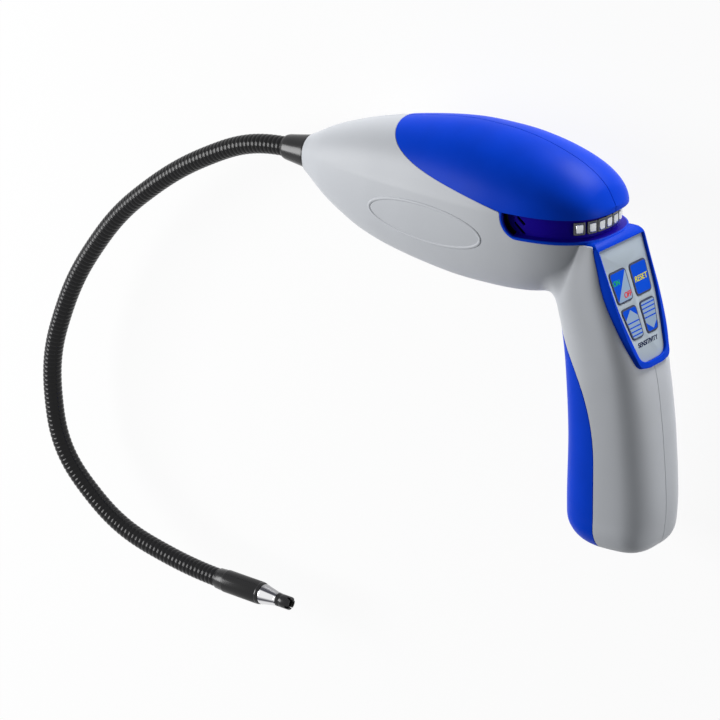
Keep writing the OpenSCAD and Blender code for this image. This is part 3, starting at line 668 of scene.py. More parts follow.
def turned_piece(name, profile, at, heading, material, segments=64):
    """A solid of revolution: profile of (along, radius) about a direction in the centre plane."""
    axis, up, left = tip_axes(heading)
    base = np.array([at[0], at[1], 0])
    points = []
    for d, r in profile:
        for a in 2 * np.pi * np.arange(segments) / segments:
            points.append(base + axis * d + r * (up * math.cos(a) + left * math.sin(a)))
    faces = [(i, m, k, j) for i, j, k, m in grid(len(profile), segments, True)]
    made = piece(name, points, faces, material)
    outward(made.data)
    shaded(made.data, 40)
    return made


# Finishes
class Sock:
    """An output socket of a node tree; sums and products on it add Math nodes."""

    def __init__(self, tree, socket):
        self.tree, self.socket = tree, socket

    def node(self, kind, settings=None, out=0, **values):
        """A node with inputs by name, or by number as i0, i1 and so on."""
        made = self.tree.nodes.new(kind)
        for key, value in (settings or {}).items():
            setattr(made, key, value)
        for key, value in values.items():
            numbered = key[0] == "i" and key[1:].isdigit()
            at = made.inputs[int(key[1:]) if numbered else key.replace("_", " ")]
            if isinstance(value, Sock):
                self.tree.links.new(value.socket, at)
            else:
                at.default_value = value
        return Sock(self.tree, made.outputs[out])

    def math(self, how, *values):
        return self.node("ShaderNodeMath", {"operation": how}, **{f"i{k}": v for k, v in enumerate(values)})

    def __add__(self, other):
        return self.math("ADD", self, other)

    __radd__ = __add__

    def __mul__(self, other):
        return self.math("MULTIPLY", self, other)

    __rmul__ = __mul__

    def __sub__(self, other):
        return self.math("SUBTRACT", self, other)

    def __rsub__(self, other):
        return self.math("SUBTRACT", other, self)

    def __truediv__(self, other):
        return self.math("DIVIDE", self, other)

    def __rtruediv__(self, other):
        return self.math("DIVIDE", other, self)

    def __pow__(self, other):
        return self.math("POWER", self, other)

    def fade(self, low, high):
        return self.node("ShaderNodeMapRange", {"interpolation_type": "SMOOTHSTEP"}, i0=self, i1=low, i2=high)

    def mix(self, a, b):
        """A colour between a and b by this value."""
        return self.node("ShaderNodeMix", {"data_type": "RGBA"}, 2, i0=self, i6=a, i7=b)


def tinted(colour, by):
    return tuple(min(1, c * by) for c in colour[:3]) + (1,)


def finish(name):
    """A finish from the table: slightly uneven colour and gloss with a fine grain."""
    found = bpy.data.materials.get(name)
    if found:
        return found
    base, rough, grain, grain_size, mottle, fixed = FINISHES[name]
    if isinstance(base, str):
        base = getattr(colours(), base)
    made = bpy.data.materials.new(name)
    made.use_nodes = True
    tree = made.node_tree
    shader = tree.nodes["Principled BSDF"]
    for key, value in fixed.items():
        shader.inputs[key].default_value = value
    coords = Sock(tree, tree.nodes.new("ShaderNodeTexCoord").outputs["Object"])
    cloud = coords.node("ShaderNodeTexNoise", Vector=coords, Scale=45.0, Detail=3.0)
    colour = cloud.fade(0.3, 0.7).mix(tinted(base, 1 - mottle), tinted(base, 1 + mottle))
    tree.links.new(colour.socket, shader.inputs["Base Color"])
    gloss = cloud * 0.06 + (rough - 0.03)
    tree.links.new(gloss.socket, shader.inputs["Roughness"])
    if grain:
        fine = coords.node("ShaderNodeTexNoise", Vector=coords, Scale=1000 / grain_size, Detail=2.0)
        bump = coords.node("ShaderNodeBump", Strength=1.0, Distance=grain * MM, Height=fine)
        tree.links.new(bump.socket, shader.inputs["Normal"])
    return made


def masked(material, *masks):
    """A finish whose colour passes into another where an attribute of the mesh says so."""
    tree = material.node_tree
    shader = tree.nodes["Principled BSDF"]
    colour = Sock(tree, shader.inputs["Base Color"].links[0].from_socket)
    for name, reach, other in masks:
        mask = colour.node("ShaderNodeAttribute", {"attribute_name": name}, 2)
        colour = (mask.fade(*reach) if reach else mask).mix(colour, other)
    tree.links.new(colour.socket, shader.inputs["Base Color"])
    return material


def plated():
    """Polished plating with a painted reflection: dark and light bands along its length, set by angle round the
    axis.
    """
    # painted reflection: bands of near black mixed into the plating's colour
    return masked(finish("plated"), ("streak", None, (0.03, 0.03, 0.045, 1)))


def slot_finish():
    """Blue plastic with painted shade: deep violet where the channel lies deep, and near black in the vents and
    along the channel's deep front corner.
    """
    made = finish("blue plastic").copy()
    made.name = "slot blue"
    # painted shade: violet deep in the channel, near black for the vent openings and the corner shadow
    return masked(made, ("depth", (0.02, 0.2), (0.012, 0.002, 0.34, 1)),
                  ("vent", (0.2, 0.6), (0.001, 0.001, 0.003, 1)))


def set_mask(made, name, values):
    """A value for every point of a mesh, for a finish to read."""
    mask = made.data.attributes.new(name, "FLOAT", "POINT")
    mask.data.foreach_set("value", np.asarray(values, np.float32))


# Operators
class DETECTOR_OT_housing(bpy.types.Operator):
    """Grey housing halves and blue dome halves"""
    bl_idname = "detector.housing"
    bl_label = "Housing"

    def execute(self, context):
        edge, gap = sizes().edge, sizes().edge + sizes().seam
        body = body_solid()
        front = bezier(DOME_EDGE, 80)
        corner = [(TAIL_X + SLOT_LONG * (1 - math.cos(a)), LIP_LOW + SLOT_TALL * (1 - math.sin(a)))
                  for a in np.linspace(0, math.pi / 2, 24)]
        shell_cut = self.upper(np.concatenate([front, corner]), LIP_LOW, -gap)
        dome_cut = self.upper(front, BELT_Y, gap)
        dome = skin(combine(body.copy(), dome_cut, "INTERSECT"), gap)
        whole = combine(body, grip_solid(), "UNION")
        rim_cut = prism(rim_outline(gap), pad_place, -RIM_DEEP - RIM_GAP, PAD_CLEAR)
        for cutter in (shell_cut, side_cutter(door_outline(gap)), rim_cut):
            whole = combine(whole, cutter, "DIFFERENCE")
        shell = skin(whole, gap, lambda c: c.x < NOSE_CUT + 0.01)
        for name, (points, faces, loop), field, paint in (
                ("shell", shell, housing_distance, "grey plastic"), ("dome", dome, body_field, "blue plastic")):
            if name == "shell":
                points = settle_on_housing(points)
            made = thick(points, faces, loop, unit(slope_of(field, points)), WALL, edge)
            for side, (at, around, corners) in (("left", made), ("right", mirrored(*made))):
                shown = piece(f"{name}_{side}_skin", at, around, finish(paint), corners)
                show(shown, "housing", paint.replace(" ", "_"), f"{side}_{name}")
        return {"FINISHED"}

    def upper(self, line, level, by):
        """A cutter for all above a line that ends level at the rear, moved by a distance."""
        line = softened(np.concatenate([line, [(FAR / 2, level)]]), LINE_SOFT)
        away = [(FAR, level), (FAR, FAR), (DOME_EDGE[0][0], FAR)]
        return side_cutter(np.concatenate([shifted(line, by), away]))


def door_outline(by):
    """The battery door seen from the side, its edge moved by a distance."""
    edge = softened(np.concatenate([bezier(DOOR_EDGE, 60), [(DOOR_X, -FAR / 2)]]), LINE_SOFT)
    ahead = DOOR_X - DOOR_AHEAD
    return np.concatenate([shifted(edge, by),
                           [(DOOR_X + by, -FAR), (ahead, -FAR), (ahead, -DOOR_TURN + DOOR_OVER)]])


class DETECTOR_OT_door(bpy.types.Operator):
    """Battery door on the front of the grip"""
    bl_idname = "detector.door"
    bl_label = "Battery door"

    def execute(self, context):
        edge, gap = sizes().edge, sizes().edge + sizes().seam
        cut = combine(grip_solid(), side_cutter(door_outline(-gap)), "INTERSECT")
        points, faces, loop = skin(cut)
        points = settle_on_housing(points)
        made = thick(points, faces, loop, unit(slope_of(housing_distance, points)), WALL, edge)
        shown = piece("door_skin", made[0], made[1], finish("blue plastic"), made[2])
        show(shown, "door", "blue_plastic", "battery_door")
        return {"FINISHED"}


def mirrored_outline(table, stations, by=0.0):
    """A keypad outline, down one side and up the other: distance down, place across."""
    half = along(table, stations) + by
    right = np.stack([stations, half], axis=1)
    left = np.stack([stations[::-1], -half[::-1]], axis=1)
    return np.concatenate([right, left])


def rim_outline(by=0.0):
    stations = np.concatenate([np.linspace(RIM[0][0], 54, 60), np.linspace(54.5, RIM[-1][0] + by, 24)])
    line = softened(mirrored_outline(RIM, stations, by), 1.2)
    plain = line[:, 0] > 3
    plain[[0, -1]] = True
    return line[plain]


def overlay_outline(by=0.0):
    stations = np.concatenate([np.linspace(-by, 52, 40), np.linspace(52.5, PAD_LEN + by, 16)])
    line = mirrored_outline(OVERLAY, stations, by)
    closed = np.concatenate([line[len(line) // 2:], line, line[:len(line) // 2]])
    soft = softened(closed, LINE_SOFT)
    start = np.argmin(np.linalg.norm(soft[:len(soft) // 2] - line[0], axis=1))
    end = len(soft) // 2 + np.argmin(np.linalg.norm(soft[len(soft) // 2:] - line[-1], axis=1))
    return soft[start:end]


class DETECTOR_OT_console(bpy.types.Operator):
    """Recessed band under the dome, its lip and vents, and the keypad bezel"""
    bl_idname = "detector.console"
    bl_label = "Console"

    def execute(self, context):
        band = self.band()
        bezel = prism(rim_outline(), pad_place, -RIM_DEEP, RIM_H)
        bm = bmesh.new()
        bm.from_mesh(bezel)
        bmesh.ops.bisect_plane(bm, geom=bm.verts[:] + bm.edges[:] + bm.faces[:],
                               plane_co=(0, LIP_LOW + LIP_T, 0), plane_no=(0, 1, 0), clear_outer=True)
        bmesh.ops.holes_fill(bm, edges=[e for e in bm.edges if e.is_boundary])
        bmesh.ops.recalc_face_normals(bm, faces=bm.faces)
        bm.normal_update()
        brow = [e for e in bm.edges if any(f.normal.y > 0.99 for f in e.link_faces)
                and any(abs(f.normal.z) > 0.9 or f.normal.x > 0.9 for f in e.link_faces)]
        bmesh.ops.bevel(bm, geom=brow, offset=sizes().brow, offset_type="OFFSET", segments=6, profile=0.5,
                        affect="EDGES", clamp_overlap=True)
        bmesh.ops.recalc_face_normals(bm, faces=bm.faces)
        bm.to_mesh(bezel)
        bm.free()
        bezel = combine(bezel, prism(overlay_outline(), pad_place, -1, PAD_CLEAR), "DIFFERENCE")
        made = rounded(from_work("bezel", bezel, finish("blue plastic")), width=0.7)
        show(made, "housing", "blue_plastic", "console")
        show(band, "housing", "blue_plastic")
        return {"FINISHED"}

    def band(self):
        """The recessed band, as a net of points from its lip up to the dome's edge."""
        edge = np.concatenate([np.linspace(0, 2, 14)[:-1], np.linspace(2, 14, 90)[:-1],
                               np.linspace(14, 90, 90)])
        angle = np.radians(np.concatenate([edge, 180 - edge[-2::-1]]))
        x0 = TAIL_X + TAIL_LEN * np.sin(angle)**(2 / TAIL_SQUARE)
        dx = x0 - TAIL_X
        low = LIP_LOW + SLOT_TALL * (1 - np.sqrt(1 - (1 - np.minimum(dx / SLOT_LONG, 1))**2))
        rows = np.concatenate([[-1], np.linspace(0, 0.05, 5)[:-1], np.linspace(0.05, 0.3, 22)[:-1],
                               np.linspace(0.3, 1, 44), [2]])
        points, dark, depth = [], [], []
        for r in rows:
            y = low + (BELT_Y - low) * min(max(r, 0), 1)
            inset, vent = self.inset(x0, y, y - low)
            if r < 0:
                inset = inset + 3
            if r > 1:
                inset = np.maximum(inset, SLOT_DEPTH) + 2
            x = TAIL_X + (TAIL_LEN - inset) * np.sin(angle)**(2 / TAIL_SQUARE)
            z = (HALF_W - inset) * power(np.cos(angle), 2 / TAIL_SQUARE)
            points.append(np.stack([x, y, z], axis=1))
            # painted shade mask: near black in the vents and along the deep front corner
            dark.append(vent)
            # painted shade mask: the deeper the band lies, the more it is painted dark violet
            depth.append(step(inset / SLOT_DEPTH))
        m, n = len(rows), len(angle)
        faces = [(i * n + j, (i + 1) * n + j, (i + 1) * n + j + 1, i * n + j + 1)
                 for i in range(m - 1) for j in range(n - 1)]
        made = piece("slot_band", np.concatenate(points), faces, slot_finish())
        for name, values in (("vent", dark), ("depth", depth)):
            set_mask(made, name, np.concatenate(values))
        bm = bmesh.new()
        bm.from_mesh(made.data)
        bmesh.ops.remove_doubles(bm, verts=bm.verts, dist=1e-7)
        bm.to_mesh(made.data)
        bm.free()
        mod = made.modifiers.new("wall", "SOLIDIFY")
        mod.thickness = BAND_WALL * MM
        mod.offset = 1
        return settled(made)

    def inset(self, x, y, over_low):
        """How far the band lies behind the tail's outline, and a mask for painted shade: its vents, and a
        shadow along the deep front corner.
        """
        dx = x - TAIL_X
        ahead, under = np.minimum(dx / SLOT_LONG - 1, 0), np.minimum((y - LIP_LOW) / SLOT_TALL - 1, 0)
        deep = (1 - np.hypot(ahead, under)) * SLOT_TALL - LIP_T
        inset = 0.3 * (1 - step(over_low / 0.5)) + BAND_BACK * step((deep + 0.1) / 1.0)
        vent = np.zeros_like(x)
        c, s = cos_sin(VENT_LEAN)
        for at, height, half in VENTS:
            u = (dx - at) * c + (y - height) * s
            v = -(dx - at) * s + (y - height) * c
            vent = np.maximum(vent, step((VENT_R - np.hypot(u, np.maximum(np.abs(v) - half, 0))) / 0.3))
        vent = vent * step(deep - 0.6)
        # painted shadow: a dark strip along the deep corner at the channel's front end
        corner = step((deep - 0.2) / 0.2) * step((1.5 - deep) / 0.3) * step(CORNER_SHADE_REACH - dx)
        return inset + VENT_DEPTH * vent, np.maximum(vent, corner)


def cornered(points, radius, steps=5):
    """A closed outline with its corners rounded."""
    p = np.asarray(points, float)
    made = []
    for before, at, after in zip(np.roll(p, 1, 0), p, np.roll(p, -1, 0)):
        a = at + radius * (before - at) / np.linalg.norm(before - at)
        b = at + radius * (after - at) / np.linalg.norm(after - at)
        for s in np.linspace(0, 1, steps + 1):
            made.append((1 - s)**2 * a + 2 * s * (1 - s) * at + s * s * b)
    return np.array(made)


def key_outline(col, row, by=0.0):
    """Outline of a key in the keypad frame, grown by a distance."""
    a = KEY_START + row * KEY_PITCH
    b = a + KEY_H
    outer = along(OVERLAY, np.array([a, b])) - KEY_MARGIN + by
    return cornered([(a - by, col * (KEY_MID - by)), (a - by, col * outer[0]), (b + by, col * outer[1]),
                     (b + by, col * (KEY_MID - by))], KEY_CORNER + by)


def lettering(word, width, height, s, q, n, weight):
    """A word as a thin mesh on the keypad, centred at s and q."""
    data = bpy.data.curves.new("word", "FONT")
    data.body = word
    data.extrude = PRINT_THICK
    data.offset = PRINT_GROW
    seed = linked("word", data)
    mesh = baked(seed)
    bpy.data.objects.remove(seed)
    bpy.data.curves.remove(data)
    p = np.array([v.co for v in mesh.vertices])
    faces = [tuple(f.vertices) for f in mesh.polygons]
    bpy.data.meshes.remove(mesh)
    low, high = p.min(axis=0), p.max(axis=0)
    x = (p[:, 0] - (low[0] + high[0]) / 2) * width / (high[0] - low[0])
    y = (p[:, 1] - (low[1] + high[1]) / 2) * height / (high[1] - low[1])
    x = x + PRINT_SLANT * y
    points = [pad_place(s - b, q - a + aside, n + c + rise)
              for aside, rise in ((-weight, 0), (0, 0.006), (weight, 0.012))
              for a, b, c in zip(x, y, p[:, 2])]
    return np.array(points), [tuple(i + k * len(p) for i in f) for k in range(3) for f in faces]


class DETECTOR_OT_keypad(bpy.types.Operator):
    """Membrane overlay, four printed keys and their legends"""
    bl_idname = "detector.keypad"
    bl_label = "Keypad"

    def execute(self, context):
        film = prism(overlay_outline(-0.1), pad_place, -1, 0)
        for col, row in KEYS.values():
            film = combine(film, prism(key_outline(col, row, KEY_GAP), pad_place, -3, 3), "DIFFERENCE")
        made = rounded(from_work("overlay", film, finish("overlay film")), width=0.1, segments=2)
        show(made, "housing", "overlay_film", "keypad_overlay")
        for name, (col, row) in KEYS.items():
            self.key(name, col, row)
        top = KEY_RISE + PRINT_RISE
        for word, body, width, height, s, q, n, weight in (
                ("ON", "power", 5.4, 2.5, 17.4, 12.0, top, 0.1),
                ("OFF", "power", 6.2, 2.7, 24.4, 5.2, top, 0.1),
                ("RESET", "reset", 10.6, 2.7, 19.8, -8.6, top, 0.1),
                ("SENSITIVITY", "housing", 17.0, 2.3, 49.2, -0.3, PRINT_RISE, 0.13)):
            points, faces = lettering(word, width, height, s, q, n, weight)
            paint = finish(f"print {word.lower()}")
            show(piece(f"legend_{word.lower()}", points, faces, paint, smooth=False), body, "overlay_film")
        return {"FINISHED"}

    def key(self, name, col, row):
        """One key: navy rim, and a top split along the edges of its print."""
        levels = ((-1.2, 0), (KEY_RISE - 0.3, 0), (KEY_RISE - 0.08, -0.1), (KEY_RISE, -0.3), (KEY_RISE, -0.75))
        rings = [[pad_place(s, q, n) for s, q in key_outline(col, row, by)] for n, by in levels]
        mesh = loft(rings)
        bm = bmesh.new()
        bm.from_mesh(mesh)
        bpy.data.meshes.remove(mesh)
        bm.normal_update()
        for f in bm.faces:
            f.material_index = 0
        base = np.array(pad_place(0, 0, 0))
        across = np.array([0, 0, 1.0])

        def place(point):
            d = np.array(point) - base
            return d @ PAD_S, d @ across

        level = [f for f in bm.faces if f.normal.dot(Vector(PAD_N)) > 0.99]
        cap = max(level, key=lambda f: f.calc_area())
        cap.tag = True
        lines, colour_at = self.design(name, col, row)
        for at, normal in lines:
            tops = [f for f in bm.faces if f.tag]
            geom = set(tops)
            for f in tops:
                geom.update(f.edges)
                geom.update(f.verts)
            made = bmesh.ops.bisect_plane(bm, geom=list(geom), plane_co=pad_place(*at, KEY_RISE),
                                          plane_no=Vector(normal[0] * PAD_S + normal[1] * across))
            for f in made["geom"]:
                if isinstance(f, bmesh.types.BMFace):
                    f.tag = True
        for f in bm.faces:
            if f.tag:
                f.material_index = colour_at(*place(f.calc_center_median()))
        bm.verts.index_update()
        points = [tuple(v.co) for v in bm.verts]
        faces = [tuple(v.index for v in f.verts) for f in bm.faces]
        marks = [f.material_index for f in bm.faces]
        bm.free()
        made = piece(f"{name}_button", points, faces, finish("print navy"), smooth=False,
                     more=(finish("print blue"), finish("print light")), marks=marks)
        show(made, name, "blue_plastic", f"{name}_key")

    def design(self, name, col, row):
        """Lines that split a key's top, and the colour of each part: 1 blue, 2 light."""
        a = KEY_START + row * KEY_PITCH
        outer = along(OVERLAY, np.array([a, a + KEY_H])) - KEY_MARGIN
        middle = col * (KEY_MID + outer.mean()) / 2
        if name == "reset":
            return [], lambda s, q: 1
        if name == "power":
            first = np.array((a + KEY_LINE, KEY_MID + KEY_LINE))
            last = np.array((a + KEY_H - KEY_LINE, outer[1] - KEY_LINE))
            d = last - first
            normal = np.array((-d[1], d[0])) / np.linalg.norm(d)
            return [(first, normal)], lambda s, q: 1 if (np.array((s, q)) - first) @ normal > 0 else 2
        up = name == "up"
        tip = 0.09 if up else 0.91
        eaves = 0.36 if up else 0.64
        bars = (0.47, 0.62, 0.75, 0.87) if up else (0.13, 0.25, 0.38, 0.53)
        half = (outer.mean() - KEY_MID) / 2
        lines = []
        for side in (-1, 1):
            d = np.array(((eaves - tip) * KEY_H, side * half))
            lines.append((np.array((a + tip * KEY_H, middle)), np.array((-d[1], d[0])) / np.linalg.norm(d)))
        for bar in bars:
            for by in (-BAR_HALF, BAR_HALF):
                lines.append((np.array((a + bar * KEY_H + by, middle)), np.array((1.0, 0.0))))

        def colour_at(s, q):
            v = (s - a) / KEY_H
            if any(abs(s - a - bar * KEY_H) < BAR_HALF for bar in bars):
                return 1
            roof = tip + (eaves - tip) * abs(q - middle) / half
            outside = v < roof if up else v > roof
            return 1 if outside else 2

        return lines, colour_at


def new_tree(name, output, inputs):
    """A geometry node tree, its inputs as sockets to go on from, and a function that ends it."""
    tree = bpy.data.node_groups.new(name, "GeometryNodeTree")
    for label, kind in inputs:
        tree.interface.new_socket(label, in_out="INPUT", socket_type=f"NodeSocket{kind}")
    tree.interface.new_socket(output, in_out="OUTPUT", socket_type="NodeSocketGeometry")
    given = tree.nodes.new("NodeGroupInput")
    sockets = {label: Sock(tree, given.outputs[label]) for label, kind in inputs}

    def end(made):
        real = made.node("GeometryNodeRealizeInstances", Geometry=made)
        painted = real.node("GeometryNodeSetMaterial", Geometry=real, Material=sockets["Material"])
        tree.links.new(painted.socket, tree.nodes.new("NodeGroupOutput").inputs[output])
        return tree

    return sockets, end


def lamp_tree():
    """Node tree that sets a row of lamps round the rounded rear end."""
    given, end = new_tree("lamp row", "Row", [
        ("Lamp", "Geometry"), ("Count", "Int"), ("Step", "Float"), ("Long", "Float"), ("Wide", "Float"),
        ("Square", "Float"), ("Place", "Vector"), ("Material", "Material")])
    count, n, long, wide = (given[name] for name in ("Count", "Square", "Long", "Wide"))
    row = count.node("GeometryNodeMeshLine", Count=count)
    index = count.node("GeometryNodeInputIndex")
    z = (index - (count - 1) / 2) * given["Step"]
    share = z.math("ABSOLUTE", z) / wide
    reach = (1 - share**n)**(1 / n)
    side = z.math("SIGN", z) * (share**(n - 1) / wide)
    ahead = reach**(n - 1) / long
    turn = side.math("ARCTAN2", side, ahead) * -1
    flat = z.node("ShaderNodeCombineXYZ", X=reach * long, Z=z)
    spot = flat.node("ShaderNodeVectorMath", i0=flat, i1=given["Place"])
    row = row.node("GeometryNodeSetPosition", Geometry=row, Position=spot)
    return end(row.node("GeometryNodeInstanceOnPoints", Points=row, Instance=given["Lamp"],
                        Rotation=turn.node("ShaderNodeCombineXYZ", Y=turn)))


class DETECTOR_OT_lamps(bpy.types.Operator):
    """Row of lamps in the band under the dome"""
    bl_idname = "detector.lamps"
    bl_label = "Lamps"

    def execute(self, context):
        tree = lamp_tree()
        height = SLOT_LOW + (BELT_Y - SLOT_LOW) * LAMP_SHARE
        values = {"Count": LAMP_COUNT, "Step": LAMP_STEP * MM, "Long": (TAIL_LEN - BAND_BACK) * MM,
                  "Wide": (HALF_W - BAND_BACK) * MM, "Square": TAIL_SQUARE,
                  "Place": tuple(to_row((TAIL_X, height, 0)))}
        block = self.block(w=LAMP_W - 1.1, h=LAMP_H - 1.0, low=-1.4, high=1.6, edge=0.8)
        lens = grown("lamp_row", block, tree, Material=finish("lamp lens"), **values)
        collar = self.ring(w=LAMP_STEP - 0.1, h=LAMP_H + 0.5, wall=0.85, low=-1.5, high=0.9)
        frame_row = grown("lamp_frames", collar, tree, Material=finish("smoked collar"), **values)
        show(lens, "housing", "lamp_lens", "leds")
        show(frame_row, "housing", "black_plastic")
        return {"FINISHED"}

    def block(self, w, h, low, high, edge):
        """One lens: a block with softly rounded front edges, X out."""
        bm = bmesh.new()
        bmesh.ops.create_cube(bm, size=1)
        for v in bm.verts:
            v.co = Vector(((low + high) / 2 + v.co.x * (high - low), v.co.y * h, v.co.z * w)) * MM
        front = [e for e in bm.edges if sum(v.co.x > 0 for v in e.verts) >= 1]
        bmesh.ops.bevel(bm, geom=front, offset=edge * MM, offset_type="OFFSET", segments=4, profile=0.5,
                        affect="EDGES")
        bmesh.ops.recalc_face_normals(bm, faces=bm.faces)
        mesh = bpy.data.meshes.new("lens")
        bm.to_mesh(mesh)
        bm.free()
        shaded(mesh, 50)
        return mesh

    def ring(self, w, h, wall, low, high):
        """One frame: a rectangular collar round a lens."""
        outer, inner = (cornered([(-y, -z), (-y, z), (y, z), (y, -z)], radius, 3)
                        for y, z, radius in ((h / 2, w / 2, 0.7), (h / 2 - wall, w / 2 - wall, 0.5)))
        loops = [(low, inner), (low, outer), (high - 0.15, outer), (high, (outer * 0.7 + inner * 0.3)),
                 (high, inner)]
        points = [Vector((x, y, z)) * MM for x, line in loops for y, z in line]
        mesh = bpy.data.meshes.new("collar")
        mesh.from_pydata(points, [], grid(len(loops), len(outer), True))
        outward(mesh)
        return mesh


class DETECTOR_OT_badges(bpy.types.Operator):
    """Bare oval rings on the flanks"""
    bl_idname = "detector.badges"
    bl_label = "Oval rings"

    def execute(self, context):
        turn = np.radians(np.arange(0, 360, 2.0))
        tilt = math.radians(OVAL_TILT)
        x, y = OVAL_HALF[0] * np.cos(turn), OVAL_HALF[1] * np.sin(turn)
        path = np.stack([OVAL_AT[0] + x * math.cos(tilt) - y * math.sin(tilt),
                         OVAL_AT[1] + x * math.sin(tilt) + y * math.cos(tilt), np.full_like(x, 26.0)], axis=1)
        for k in range(12):
            g = slope_of(housing_distance, path)
            path[:, 2] -= np.clip(housing_distance(path) / np.maximum(g[:, 2], 0.3), -3, 3)
        normal = unit(slope_of(housing_distance, path))
        ahead = unit(np.roll(path, -1, 0) - np.roll(path, 1, 0))
        side = np.cross(ahead, normal)
        rings = np.array([path + OVAL_WIDE * np.cos(a) * side + (OVAL_TALL * np.sin(a) - OVAL_SINK) * normal
                          for a in np.radians(np.arange(0, 360, 30))])
        faces = grid(*rings.shape[:2], True)
        for name, flip in (("left", 1), ("right", -1)):
            made = piece(f"oval_{name}", rings.reshape(-1, 3) * (1, 1, flip), faces, finish("grey plastic"))
            outward(made.data)
            show(made, "housing", "grey_plastic")
        return {"FINISHED"}


class DETECTOR_OT_inside(bpy.types.Operator):
    """Finishes of the parts held inside"""
    bl_idname = "detector.inside"
    bl_label = "Inside"

    def execute(self, context):
        for paint, names in INSIDE.items():
            for name in names:
                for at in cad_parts[name].material_slots:
                    at.material = finish(paint)
        return {"FINISHED"}


def neck_pivot(k):
    """Place and heading at the start of length k of the gooseneck."""
    x, y, h = -float(NECK_LEAD), 0.0, 180.0
    for b in NECK_BENDS[:k]:
        x, y, h = neck_arc(x, y, h, b, NECK_SEG)
    return x, y, h


def neck_arc(x, y, h, bend, s):
    """Moves s along one length: straight, arc, straight."""
    span = NECK_SEG - 2 * NECK_END
    lead, arc, rest = min(s, NECK_END), min(max(s - NECK_END, 0), span), max(s - NECK_END - span, 0)
    r = span / math.radians(bend)
    (c0, s0), end = cos_sin(h), h + bend * arc / span
    c1, s1 = cos_sin(end)
    x, y = x + lead * c0, y + lead * s0
    x, y = x - r * s0 + r * s1, y + r * c0 - r * c1
    return x + rest * c1, y + rest * s1, end


def neck_point(s):
    """A point s along the gooseneck from its first pivot."""
    if s < 0:
        return -NECK_LEAD - s, 0.0
    k = min(int(s // NECK_SEG), len(NECK_BENDS) - 1)
    x, y, h = neck_pivot(k)
    return neck_arc(x, y, h, NECK_BENDS[k], s - k * NECK_SEG)[:2]


def rib_tree():
    """Node tree that sweeps a ribbed sleeve along a curve."""
    given, end = new_tree("ribbed sleeve", "Sleeve", [
        ("Path", "Geometry"), ("Radius", "Float"), ("Pitch", "Float"), ("Depth", "Float"), ("Start", "Float"),
        ("Step", "Float"), ("Material", "Material")])
    path = given["Path"]
    path = path.node("GeometryNodeResampleCurve", {"mode": "LENGTH"}, Curve=path, Length=given["Step"])
    length = path.node("GeometryNodeSplineParameter", None, "Length")
    turn = (length + given["Start"]) / given["Pitch"]
    off = turn.math("FRACT", turn) * 2 - 1
    radius = given["Radius"] - off.math("ABSOLUTE", off)**RIB_POWER * given["Depth"]
    ring = path.node("GeometryNodeCurvePrimitiveCircle", Resolution=RIB_SIDES, Radius=1)
    sweep = path.node("GeometryNodeCurveToMesh", Curve=path, Profile_Curve=ring, Scale=radius, Fill_Caps=True)
    return end(sweep.node("GeometryNodeSetShadeSmooth", Geometry=sweep))


def grown(name, data, tree, **values):
    """A plain mesh object from a node tree on some data; inputs by their names in the tree."""
    seed = linked(name + "_seed", data)
    mod = seed.modifiers.new("grow", "NODES")
    mod.node_group = tree
    for item in tree.interface.items_tree:
        if item.in_out == "INPUT" and item.name in values:
            mod[item.identifier] = values[item.name]
    mesh = baked(seed)
    bpy.data.objects.remove(seed)
    mesh.name = name
    return linked(name, mesh)


class DETECTOR_OT_gooseneck(bpy.types.Operator):
    """Ribbed gooseneck swept in lengths along its bent path"""
    bl_idname = "detector.gooseneck"
    bl_label = "Gooseneck"

    def execute(self, context):
        tree = rib_tree()
        count = len(NECK_BENDS)
        cuts = [-NECK_LEAD - NECK_IN] + [NECK_SEG * (k + 0.5) for k in range(count)] + [NECK_SEG * count]
        bodies = ["housing"] + [f"neck_{k}" for k in range(2, count + 1)]
        rough = [neck_point(s) for s in np.arange(cuts[0], cuts[-1] + 0.1, NECK_STEP)]
        whole = softened(rough, NECK_SOFT, NECK_STEP)
        share = np.linspace(cuts[0], cuts[-1], len(whole))
        for k, (a, b) in enumerate(zip(cuts[:-1], cuts[1:])):
            at = np.linspace(a, b, int((b - a) / NECK_STEP) + 1)
            path = to_row(np.stack([np.interp(at, share, whole[:, 0]), np.interp(at, share, whole[:, 1]),
                                    np.zeros_like(at)], axis=1))
            data = bpy.data.curves.new(f"sleeve_{k}", "CURVE")
            data.dimensions = "3D"
            line = data.splines.new("POLY")
            line.points.add(len(path) - 1)
            line.points.foreach_set("co", np.concatenate([path, np.ones((len(path), 1))], axis=1).ravel())
            made = grown(f"sleeve_{k}", data, tree, Radius=(NECK_R + NECK_OVER) * MM,
                         Pitch=sizes().rib_pitch * MM, Depth=sizes().rib_depth * MM, Start=a * MM + 1,
                         Step=RIB_STEP * MM, Material=finish("black sleeve"))
            if k == 0:
                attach(made, "housing")
                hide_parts("gooseneck_1")
            elif k == count:
                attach(made, bodies[-1])
            else:
                start, end = (Vector(to_row((*neck_point(NECK_SEG * k + d), 0)))
                              for d in (-NECK_BLEND, NECK_BLEND))
                bodies[k - 1]
                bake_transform(made)
                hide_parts(f"gooseneck_{k + 1}")
        return {"FINISHED"}


